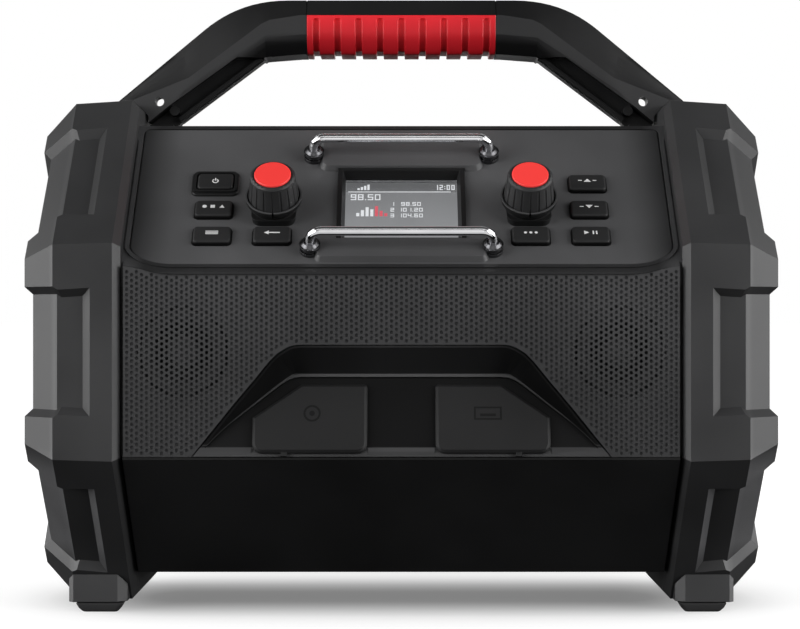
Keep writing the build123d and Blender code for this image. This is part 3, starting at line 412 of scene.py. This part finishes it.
# knob cups: painted highlight on the upper rim, six times paler and twice as glossy above 9.6 mm over the panel
cu_ = moulded_m("cup_rubber_m", grey(0.0105), 0.5, grain=1900, grain_d=0.00003, spec=0.25)
co_ = cu_.n("ShaderNodeVectorMath")
co_.operation = "SUBTRACT"
cu_.link(cu_.co, co_.inputs[0])
co_.inputs[1].default_value = (0, -0.125, 0.177)
ch_ = axis_of(cu_, co_.outputs[0], (0, -R2, R2))
cr_ = cu_.ranged(ch_, 0.0, 1.0, 0.0094, 0.0098)
tone(cu_, cu_.ranged(cr_, 1.0, 6.0, 0.0, 1.0))
gloss(cu_, 0.25, cu_.ranged(cr_, 1.0, 2.0, 0.0, 1.0))
M["cup"] = cu_.m
M["bezel"] = moulded("bezel_plastic_m", grey(0.010), 0.45, grain=1900, grain_d=0.00003, spec=0.3)

# front housing: the slanted lower front is the darkest part
fh_ = moulded_m("front_housing_m", grey(0.016), 0.42, grain=1700, grain_d=0.00004, spec=0.4)
zf_ = axis_of(fh_, fh_.co, (0, 0, 1))
xf_ = absolute(fh_, axis_of(fh_, fh_.co, (1, 0, 0)))
low_ = fh_.ranged(zf_, 1.1, 1.0, 0.0862, 0.0868)
# the folded edge under the socket bay sits in its own shade
fold_ = plus(fh_, fh_.ranged(zf_, 0.8, 0.0, 0.0838, 0.0846), fh_.ranged(zf_, 0.0, 0.8, 0.0866, 0.0872))
low_ = times(fh_, low_, fh_.ranged(fold_, 0.2, 1.0, 0.0, 0.8))
# painted light along the top lip, three times stronger at its ends beside the bumpers
lipz_ = fh_.ranged(zf_, 0.0, 1.0, 0.170, 0.172)
side_ = fh_.ranged(xf_, 0.0, 1.0, 0.128, 0.137)
tone(fh_, times(fh_, low_, plus(fh_, fh_.ranged(lipz_, 1.0, 1.5, 0.0, 1.0), fh_.ranged(times(fh_, lipz_, side_), 0.0, 3.2, 0.0, 1.0))))
gloss(fh_, 0.4, fh_.ranged(zf_, 1.3, 1.0, 0.0862, 0.0868))
M["front"] = fh_.m

slots = {s["node"]: s["material_slot"] for s in frame["record"]["subparts"]}


def dress(obj, mat):
    obj.data.materials.clear()
    obj.data.materials.append(mat)


for n, o in NODES.items():
    dress(o, M[slots[n]])
dress(NODES["port_bay"], M["bay"])
dress(NODES["knob_collars"], M["cup"])
dress(NODES["display_bezel"], M["bezel"])
dress(NODES["front_housing"], M["front"])
for n in ("left_bumper", "right_bumper"):
    dress(NODES[n], M["bumper_face"])
dress(NODES["handle_frame"], M["handle_face"])
dress(NODES["handle_grip"], M["grip_face"])
dress(NODES["bumper_bolts"], M["bolt_dark"])
dress(NODES["guard_bar_collars"], M["collar_metal"])
dress(NODES["power_button_bezel"], M["key_frame"])


# ------------------------------------------------------------------ edges of the carried-over parts
def soften(o, width, seg=3, angle=28, flat=0.6):
    """Real rounded edges on a part that came as flat facets."""
    w = o.modifiers.new("weld", "WELD")
    w.merge_threshold = 0.00001
    d = o.modifiers.new("flat", "DECIMATE")
    d.decimate_type = "DISSOLVE"
    d.angle_limit = math.radians(flat)
    b = o.modifiers.new("edge", "BEVEL")
    b.width = width
    b.segments = seg
    b.limit_method = "ANGLE"
    b.angle_limit = math.radians(angle)
    b.harden_normals = False
    b.use_clamp_overlap = True
    n = o.modifiers.new("wn", "WEIGHTED_NORMAL")
    n.keep_sharp = False
    n.weight = 80
    for p in o.data.polygons:
        p.use_smooth = True


for n, wd in {
    "left_bumper": 0.0011, "right_bumper": 0.0011, "foot_blocks": 0.0012, "foot_pads": 0.0010,
    "front_housing": 0.0006, "rear_housing": 0.0006,
    "port_bay": 0.0007, "left_side_panel": 0.0007, "right_side_panel": 0.0007,
    "control_panel": 0.0003, "display_bezel": 0.0003, "aux_cover": 0.0004, "usb_cover": 0.0004,
    "power_inlet": 0.0003, "battery_door": 0.0003, "handle_grip": 0.0004,
}.items():
    soften(NODES[n], wd)

soften(NODES["handle_frame"], 0.0007, 2, 11, 0.2)
for n in ("power_button", "source_button", "menu_button", "back_button", "preset_up_button",
          "preset_down_button", "play_button", "info_button"):
    soften(NODES[n], 0.0005, 3, 25)
for n in ("left_knob", "right_knob"):
    soften(NODES[n], 0.00025, 2, 40, 0.2)
for n in ("left_knob_cap", "right_knob_cap", "knob_collars", "guard_bar_collars"):
    soften(NODES[n], 0.0002, 2, 35, 0.2)


# ------------------------------------------------------------------ pieces that the CAD only stands for
def P(x, s, h):
    """A point of the control panel: along it, up the slant, out of it, in millimetres."""
    return Vector((x * S, (-125 + (s - h) * R2) * S, (177 + (s + h) * R2) * S))


CT, ST = math.cos(math.radians(18.9)), math.sin(math.radians(18.9))


def Q(x, v, n):
    """A point of the socket face."""
    return Vector((x * S, (-121.6 + v * ST - n * CT) * S, (90 + v * CT + n * ST) * S))


def mesh_piece(name, verts, faces, body, mat, smooth=False):
    me = bpy.data.meshes.new(name)
    me.from_pydata([tuple(v) for v in verts], [], faces)
    me.validate()
    bm = bmesh.new()
    bm.from_mesh(me)
    bmesh.ops.recalc_face_normals(bm, faces=bm.faces)
    bm.to_mesh(me)
    bm.free()
    for p in me.polygons:
        p.use_smooth = smooth
    o = bpy.data.objects.new(name, me)
    bpy.context.scene.collection.objects.link(o)
    o.data.materials.append(mat)
    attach(o, body)
    return o


class Relief:
    """Small raised shapes on a flat face, gathered in one mesh."""

    def __init__(self, at, low, high):
        self.at, self.low, self.high = at, low, high
        self.v, self.f = [], []

    def poly(self, pts):
        b = len(self.v)
        n = len(pts)
        self.v += [self.at(x, y, self.low) for x, y in pts] + [self.at(x, y, self.high) for x, y in pts]
        self.f.append(tuple(range(b + n, b + 2 * n)))
        self.f.append(tuple(range(b + n - 1, b - 1, -1)))
        self.f += [(b + k, b + (k + 1) % n, b + n + (k + 1) % n, b + n + k) for k in range(n)]

    def bar(self, x0, y0, x1, y1):
        self.poly([(x0, y0), (x1, y0), (x1, y1), (x0, y1)])

    def ring(self, cx, cy, r0, r1, a0=0.0, a1=360.0, n=28, sq=1.0):
        closed = a1 - a0 >= 359.9
        m = n if closed else n + 1
        b = len(self.v)
        for k in range(m):
            a = math.radians(a0 + (a1 - a0) * k / n)
            for r in (r0, r1):
                for h in (self.low, self.high):
                    self.v.append(self.at(cx + r * math.cos(a) * sq, cy + r * math.sin(a), h))
        for k in range(n):
            p, q = b + 4 * k, b + 4 * ((k + 1) % m)
            self.f += [(p + 1, q + 1, q + 3, p + 3), (p, p + 2, q + 2, q), (p, q, q + 1, p + 1), (p + 2, p + 3, q + 3, q + 2)]
        if not closed:
            e = b + 4 * n
            self.f += [(b, b + 1, b + 3, b + 2), (e, e + 2, e + 3, e + 1)]

    def disc(self, cx, cy, r, n=24):
        self.poly([(cx + r * math.cos(2 * math.pi * k / n), cy + r * math.sin(2 * math.pi * k / n)) for k in range(n)])

    DIGITS = {"0": "abcdef", "1": "bc", "2": "abged", "3": "abgcd", "4": "fgbc", "5": "afgcd", "6": "afgedc",
              "7": "abc", "8": "abcdefg", "9": "abcdfg"}

    def number(self, text, x, y, h, w=None, t=None):
        """Plain figures built from strokes; returns the end of the line."""
        w = w or h * 0.56
        t = t or h * 0.15
        for ch in text:
            if ch in ".:":
                for yy in ((y,) if ch == "." else (y + h * 0.18, y + h * 0.62)):
                    self.bar(x, yy, x + t, yy + t)
                x += t * 2.2
                continue
            if ch == " ":
                x += w * 0.8
                continue
            m = y + h / 2
            seg = {"a": (x, y + h - t, x + w, y + h), "d": (x, y, x + w, y + t), "g": (x, m - t / 2, x + w, m + t / 2),
                   "f": (x, m, x + t, y + h), "e": (x, y, x + t, m), "b": (x + w - t, m, x + w, y + h), "c": (x + w - t, y, x + w, m)}
            for k, c in enumerate(self.DIGITS[ch]):
                x0, y0, x1, y1 = seg[c]
                e = 0.002 * k
                self.bar(x0 + e, y0 + e, x1 - e, y1 - e)
            x += w + t * 1.3
        return x

    def piece(self, name, body, mat):
        return mesh_piece(name, self.v, self.f, body, mat)


# ---- perforated sheet
LIP = [(113.8, 176.3), (119.7, 176.8), (124.7, 177.8), (129.6, 179.1), (134.6, 180.2), (138.2, 180.6)]
NOTCH = [(-104.4, 85.9), (-95.1, 97.6), (-84.1, 111.2), (-73.2, 124.1), (-65.7, 133.3), (-61.9, 137.15), (-57.45, 139.95), (-54.6, 141.15), (-51.4, 141.65)]


def grille_outline():
    top = [(x, z) for x, z in LIP]
    n = NOTCH + [(-x, z) for x, z in reversed(NOTCH)]
    return [(-138.2, 85.9)] + n + [(138.2, 85.9)] + list(reversed(top)) + [(-x, z) for x, z in top]


def seg_dist(px, pz, a, b):
    ax, az = a
    bx, bz = b
    dx, dz = bx - ax, bz - az
    t = max(0.0, min(1.0, ((px - ax) * dx + (pz - az) * dz) / (dx * dx + dz * dz)))
    return math.hypot(px - ax - t * dx, pz - az - t * dz)


def inside(px, pz, poly):
    hit = False
    for (ax, az), (bx, bz) in zip(poly, poly[1:] + poly[:1]):
        if (az > pz) != (bz > pz) and px < (bx - ax) * (pz - az) / (bz - az) + ax:
            hit = not hit
    return hit


def perforated_sheet():
    from mathutils.geometry import delaunay_2d_cdt
    out = grille_outline()
    edges = list(zip(out, out[1:] + out[:1]))
    A, B, R, N = 2.48, 2.86, 0.87, 12
    RF = R + 0.11
    centres = []
    for i in range(-57, 58):
        x = i * A
        for j in range(-20, 20):
            z = 133.4 + j * B + (B / 2 if i % 2 else 0.0)
            if inside(x, z, out) and min(seg_dist(x, z, a, b) for a, b in edges) > RF + 0.18:
                centres.append((x, z))
    verts = [Vector(p) for p in out]
    faces = [list(range(len(out)))]
    for x, z in centres:
        b = len(verts)
        for k in range(N):
            a = 2 * math.pi * (k + 0.5) / N
            verts.append(Vector((x + RF * math.cos(a), z + RF * math.sin(a))))
        faces.append(list(range(b, b + N)))
    v2, _, f2, _, _, of = delaunay_2d_cdt(verts, [], faces, 1, 1e-6, True)
    keep = [tuple(f) for f, src in zip(f2, of) if len(src) == 1 and src[0] == 0]
    Y0, Y1, YB = -122.8, -122.66, -122.2
    n = len(v2)
    V = [(p.x * S, Y0 * S, p.y * S) for p in v2] + [(p.x * S, YB * S, p.y * S) for p in v2]
    F = [f for f in keep] + [tuple(k + n for k in reversed(f)) for f in keep]
    # walls: every boundary edge of the kept triangles
    count = {}
    for f in keep:
        for a, b in zip(f, f[1:] + f[:1]):
            key = (min(a, b), max(a, b))
            count[key] = count.get(key, 0) + 1
    # a rolled edge leads into each hole
    ring_of = {}
    for idx, (x, z) in enumerate(centres):
        for k in range(N):
            ring_of[len(out) + idx * N + k] = (x, z)
    at = {}
    for k, p in enumerate(v2):
        at[(round(p.x, 4), round(p.y, 4))] = k
    inner = {}
    for idx, (x, z) in enumerate(centres):
        for k in range(N):
            a = 2 * math.pi * (k + 0.5) / N
            key = (round(x + RF * math.cos(a), 4), round(z + RF * math.sin(a), 4))
            vi = at.get(key)
            if vi is None:
                continue
            b = len(V)
            px, pz = x + R * math.cos(a), z + R * math.sin(a)
            V.append((px * S, Y1 * S, pz * S))
            V[vi + n] = (px * S, YB * S, pz * S)
            inner[vi] = b
    for (a, b), c in count.items():
        if c != 1:
            continue
        if a in inner and b in inner:
            F.append((a, b, inner[b], inner[a]))
            F.append((inner[a], inner[b], b + n, a + n))
        else:
            F.append((a, b, b + n, a + n))
    o = mesh_piece("grille_sheet", V, F, "cabinet", M["sheet"])
    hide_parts("speaker_grille")
    return o


perforated_sheet()


# ---- cloth behind it, with the two speakers' discs let in
def cloth():
    from mathutils.geometry import delaunay_2d_cdt
    out = [(x * 0.9985, 86.2 if z < 86 else z - 0.15) for x, z in grille_outline()]
    verts = [Vector(p) for p in out]
    faces = [list(range(len(out)))]
    for sx in (-1, 1):
        b = len(verts)
        for k in range(64):
            a = 2 * math.pi * k / 64
            verts.append(Vector((sx * 108.4 + 22.9 * math.cos(a), 138.1 + 22.9 * math.sin(a))))
        faces.append(list(range(b, b + 64)))
    v2, _, f2, _, _, of = delaunay_2d_cdt(verts, [], faces, 1, 1e-6, True)
    keep = [tuple(f) for f, src in zip(f2, of) if len(src) == 1 and src[0] == 0]
    n = len(v2)
    V = [(p.x * S, -0.12212, p.y * S) for p in v2] + [(p.x * S, -0.12145, p.y * S) for p in v2]
    F = keep + [tuple(k + n for k in reversed(f)) for f in keep]
    count = {}
    for f in keep:
        for a, b in zip(f, f[1:] + f[:1]):
            key = (min(a, b), max(a, b))
            count[key] = count.get(key, 0) + 1
    F += [(a, b, b + n, a + n) for (a, b), c in count.items() if c == 1]
    mesh_piece("grille_cloth", V, F, "cabinet", M["cloth"])


def lathe(name, x, z, prof, body, mat, seg=72, smooth=True):
    V, F = [], []
    for r, y in prof:
        for k in range(seg):
            a = 2 * math.pi * k / seg
            V.append(((x + r * math.cos(a)) * S, y * S, (z + r * math.sin(a)) * S))
    for i in range(len(prof) - 1):
        for k in range(seg):
            k2 = (k + 1) % seg
            F.append((i * seg + k, i * seg + k2, (i + 1) * seg + k2, (i + 1) * seg + k))
    F.append(tuple(range(seg)))
    F.append(tuple((len(prof) - 1) * seg + k for k in range(seg)))
    return mesh_piece(name, V, F, body, mat, smooth)


cloth()
for sx, side in ((-1, "left"), (1, "right")):
    o = lathe(side + "_speaker_disc", sx * 108.4, 138.1,
              [(21.0, -117.6), (21.2, -121.9), (20.9, -122.1), (18.0, -122.05), (14.8, -121.8), (13.4, -120.9), (12.9, -117.2), (9.3, -117.2),
               (8.9, -120.9), (7.8, -121.9), (5.0, -122.1), (1.0, -122.14)], "cabinet", M["speaker_disc"])
    o.data.polygons[-1].use_smooth = True

# ---- white signs on the keys
KEYS = {"power_button": (-96.1, 67.3), "source_button": (-95.8, 45.8), "menu_button": (-95.5, 26.2), "back_button": (-65.2, 26.2),
        "preset_up_button": (96.1, 65.8), "preset_down_button": (95.8, 45.8), "play_button": (95.5, 26.2), "info_button": (65.2, 26.2)}


def key_signs():
    for nm, (kx, ks) in KEYS.items():
        r = Relief(lambda x, y, h, kx=kx, ks=ks: P(kx + x, ks + y - 1.4, h), 2.44, 2.53)
        if nm == "power_button":
            r.ring(0.0, 0.4, 1.05, 1.7, 120, 420, 26)
            r.bar(-0.32, 0.7, 0.32, 2.7)
        elif nm == "source_button":
            r.disc(-4.6, 2.3, 1.15)
            r.bar(-1.6, 1.2, 0.7, 3.4)
            r.poly([(3.0, 1.2), (5.6, 1.2), (4.3, 3.5)])
        elif nm == "menu_button":
            for k in range(3):
                r.bar(-3.2, 1.1 + 0.95 * k, 3.2, 1.6 + 0.95 * k)
        elif nm == "back_button":
            r.poly([(-4.0, 2.3), (-1.6, 3.7), (-1.6, 0.9)])
            r.bar(-1.7, 1.95, 4.0, 2.65)
        elif nm == "preset_up_button":
            r.poly([(-1.9, 1.2), (1.9, 1.2), (0.0, 3.6)])
            r.bar(-4.8, 2.05, -2.8, 2.6)
            r.bar(2.8, 2.05, 4.8, 2.6)
        elif nm == "preset_down_button":
            r.poly([(1.9, 3.4), (-1.9, 3.4), (0.0, 1.0)])
            r.bar(-4.8, 1.95, -2.8, 2.5)
            r.bar(2.8, 1.95, 4.8, 2.5)
        elif nm == "play_button":
            r.poly([(-3.4, 3.6), (-3.4, 1.0), (-0.9, 2.3)])
            r.bar(0.8, 1.05, 1.5, 3.55)
            r.bar(2.5, 1.05, 3.2, 3.55)
        else:
            for k in (-1, 0, 1):
                r.disc(k * 2.7, 2.3, 0.78)
        r.piece(nm.replace("_button", "_sign"), nm, M["paint_white"])


key_signs()

# ---- lit screen under the window, with a made-up frequency list
SCR = Relief(lambda x, y, h: P(x, y, h), -5.7, -5.3)
SCR.bar(-28.9, 27.6, 28.9, 73.4)
SCR.piece("screen_face", "cabinet", M["screen_light"])
r = Relief(lambda x, y, h: P(x, y, h), -5.29, -5.22)
r.bar(-28.6, 65.9, 28.6, 73.2)
r.piece("screen_status_band", "cabinet", M["screen_band"])
r = Relief(lambda x, y, h: P(x, y, h), -5.25, -5.12)
r.bar(-27.6, 65.7, 25.6, 66.1)
for k in range(4):
    r.bar(-22.8 + k * 1.7, 67.4, -21.6 + k * 1.7, 68.7 + k * 0.95)
r.number("12:00", 17.4, 67.4, 3.9, 1.75, 0.55)
r.number("98.50", -26.2, 59.6, 4.4, 2.9, 0.62)
for k, t in enumerate(("1  98.50", "2 101.20", "3 104.60")):
    r.number(t, -5.6, 55.2 - k * 4.4, 2.7, 1.9, 0.42)
for k, h in enumerate((2.4, 4.6, 6.8, 5.2)):
    r.bar(-23.2 + k * 2.4, 47.2, -21.6 + k * 2.4, 47.2 + h)
r.piece("screen_figures", "cabinet", M["screen_white"])
r = Relief(lambda x, y, h: P(x, y, h), -5.25, -5.12)
for k, h in enumerate((7.6, 4.0, 2.2)):
    r.bar(-13.6 + k * 2.4, 47.2, -12.0 + k * 2.4, 47.2 + h)
r.piece("screen_level", "cabinet", M["screen_red"])

# ---- sunk signs of the two socket covers
r = Relief(lambda x, y, h: Q(x, y, h), 2.66, 2.77)
r.ring(-44.5, 17.4, 3.3, 4.3, n=36)
r.disc(-44.5, 17.4, 1.35)
r.piece("aux_sign", "aux_flap", M["mark_dark"])
r = Relief(lambda x, y, h: Q(x, y, h), 2.66, 2.77)
r.bar(36.2, 14.1, 50.0, 14.95)
r.bar(36.2, 20.05, 50.0, 20.9)
r.bar(36.2, 14.95, 37.05, 20.05)
r.bar(49.15, 14.95, 50.0, 20.05)
r.bar(39.2, 15.9, 47.0, 17.3)
r.piece("usb_sign", "usb_flap", M["mark_dark"])

# ------------------------------------------------------------------ stage
bpy.ops.mesh.primitive_plane_add(size=60, location=(0, 0, 0))
floor = bpy.context.active_object
floor.name = "floor"
fm = Mat("floor_m")
fz = fm.noise(3, 3)
fm.colour((0.29, 0.29, 0.29), (0.31, 0.31, 0.31), fz)
fm.p.inputs["Roughness"].default_value = 0.6
fm.p.inputs["Specular IOR Level"].default_value = 0.0
# distance from the line under the cabinet: painted shadow, the pale table's glow dimmed softly where the radio stands
# over it
ax = absolute(fm, axis_of(fm, fm.co, (1, 0, 0)))
sub = fm.n("ShaderNodeMath")
sub.operation = "SUBTRACT"
sub.use_clamp = True
sub.inputs[1].default_value = 0.118
fm.link(ax, sub.inputs[0])
cmb = fm.n("ShaderNodeCombineXYZ")
fm.link(sub.outputs[0], cmb.inputs[0])
fm.link(axis_of(fm, fm.co, (0, 1, 0)), cmb.inputs[1])
ln = fm.n("ShaderNodeVectorMath")
ln.operation = "LENGTH"
fm.link(cmb.outputs[0], ln.inputs[0])
ramp = fm.n("ShaderNodeValToRGB")
el = ramp.color_ramp.elements
STOPS = ((0.0, 0.20), (0.10, 0.205), (0.17, 0.27), (0.245, 0.37), (0.32, 0.53), (0.39, 0.68), (0.46, 0.78), (0.53, 0.83), (0.70, 0.88), (1.0, 1.0))
while len(el) < len(STOPS):
    el.new(0.5)
for e, (at_, v) in zip(el, STOPS):
    e.position = at_
    e.color = (v, v, v, 1)
fm.link(fm.ranged(ln.outputs["Value"], 0.0, 1.0, 0.0, 0.2), ramp.inputs[0])
sepc = fm.n("ShaderNodeSeparateColor")
fm.link(ramp.outputs["Color"], sepc.inputs[0])
fm.p.inputs["Emission Color"].default_value = (1, 1, 1, 1)
fm.link(sepc.outputs[0], fm.p.inputs["Emission Strength"])
geo = fm.n("ShaderNodeNewGeometry")
clear = fm.n("ShaderNodeBsdfTransparent")
two = fm.n("ShaderNodeMixShader")
fm.link(geo.outputs["Backfacing"], two.inputs[0])
fm.link(fm.p.outputs["BSDF"], two.inputs[1])
fm.link(clear.outputs["BSDF"], two.inputs[2])
fm.link(two.outputs["Shader"], fm.out.inputs["Surface"])
floor.data.materials.append(fm.m)
floor.visible_diffuse = False
floor.visible_glossy = False

world = bpy.data.worlds.new("studio")
bpy.context.scene.world = world
world.use_nodes = True
wt = world.node_tree
wt.nodes.clear()
wo = wt.nodes.new("ShaderNodeOutputWorld")
bg = wt.nodes.new("ShaderNodeBackground")
bg.inputs["Color"].default_value = (1, 1, 1, 1)
bg.inputs["Strength"].default_value = 1.0
amb = wt.nodes.new("ShaderNodeBackground")
amb.inputs["Color"].default_value = (1, 1, 1, 1)
amb.inputs["Strength"].default_value = AMBIENT
wc_ = wt.nodes.new("ShaderNodeTexCoord")
ws_ = wt.nodes.new("ShaderNodeSeparateXYZ")
wt.links.new(wc_.outputs["Generated"], ws_.inputs["Vector"])
wr_ = wt.nodes.new("ShaderNodeMapRange")
for k_, v_ in (("From Min", -0.25), ("From Max", 0.1), ("To Min", AMBIENT * 0.15), ("To Max", AMBIENT)):
    wr_.inputs[k_].default_value = v_
wt.links.new(ws_.outputs["Z"], wr_.inputs["Value"])
wt.links.new(wr_.outputs["Result"], amb.inputs["Strength"])
lp = wt.nodes.new("ShaderNodeLightPath")
mixw = wt.nodes.new("ShaderNodeMixShader")
wt.links.new(lp.outputs["Is Camera Ray"], mixw.inputs[0])
wt.links.new(amb.outputs["Background"], mixw.inputs[1])
wt.links.new(bg.outputs["Background"], mixw.inputs[2])
wt.links.new(mixw.outputs["Shader"], wo.inputs["Surface"])


def area(name, loc, target, size, power, size_y=None):
    d = bpy.data.lights.new(name, "AREA")
    d.energy = power
    d.size = size
    if size_y:
        d.shape = "RECTANGLE"
        d.size_y = size_y
    o = bpy.data.objects.new(name, d)
    bpy.context.scene.collection.objects.link(o)
    o.location = loc
    o.rotation_mode = "QUATERNION"
    o.rotation_quaternion = (Vector(target) - Vector(loc)).to_track_quat("-Z", "Y")
    return o


for nm, loc, size, size_y, power in LIGHTS:
    area(nm, loc, (0, 0, 0.14), size, power, size_y)

# cards that only the polished bars and their collars see
bars = bpy.data.collections.new("polished_bars")
for n in ("upper_guard_bar", "lower_guard_bar", "guard_bar_collars"):
    bars.objects.link(NODES[n])
for nm, loc, aim, size, size_y, power in (
        ("card_low", (0, -0.62, -0.28), (0, 0.4, -0.28), 1.7, 1.24, 4.4),
        ("card_top", (0, -0.75, 1.0), (0, -0.1, 0.22), 1.8, 0.9, 0.75),
        ("card_back", (0, 0.75, 1.0), (0, -0.1, 0.22), 1.8, 0.8, 2.9)):
    c = area(nm, loc, aim, size, power, size_y)
    c.light_linking.receiver_collection = bars
    c.light_linking.blocker_collection = bars
    c.visible_camera = False

cam_d = bpy.data.cameras.new("camera")
cam_d.lens = 93.6
cam_d.sensor_width = 36
cam = bpy.data.objects.new("camera", cam_d)
bpy.context.scene.collection.objects.link(cam)
cam.location = (-0.0007, -1.155, 0.1566)
cam.rotation_euler = (math.radians(90), 0, 0)
cam_d.clip_start = 0.05
cam_d.clip_end = 50
bpy.context.scene.camera = cam
bpy.context.scene.view_settings.view_transform = "Standard"
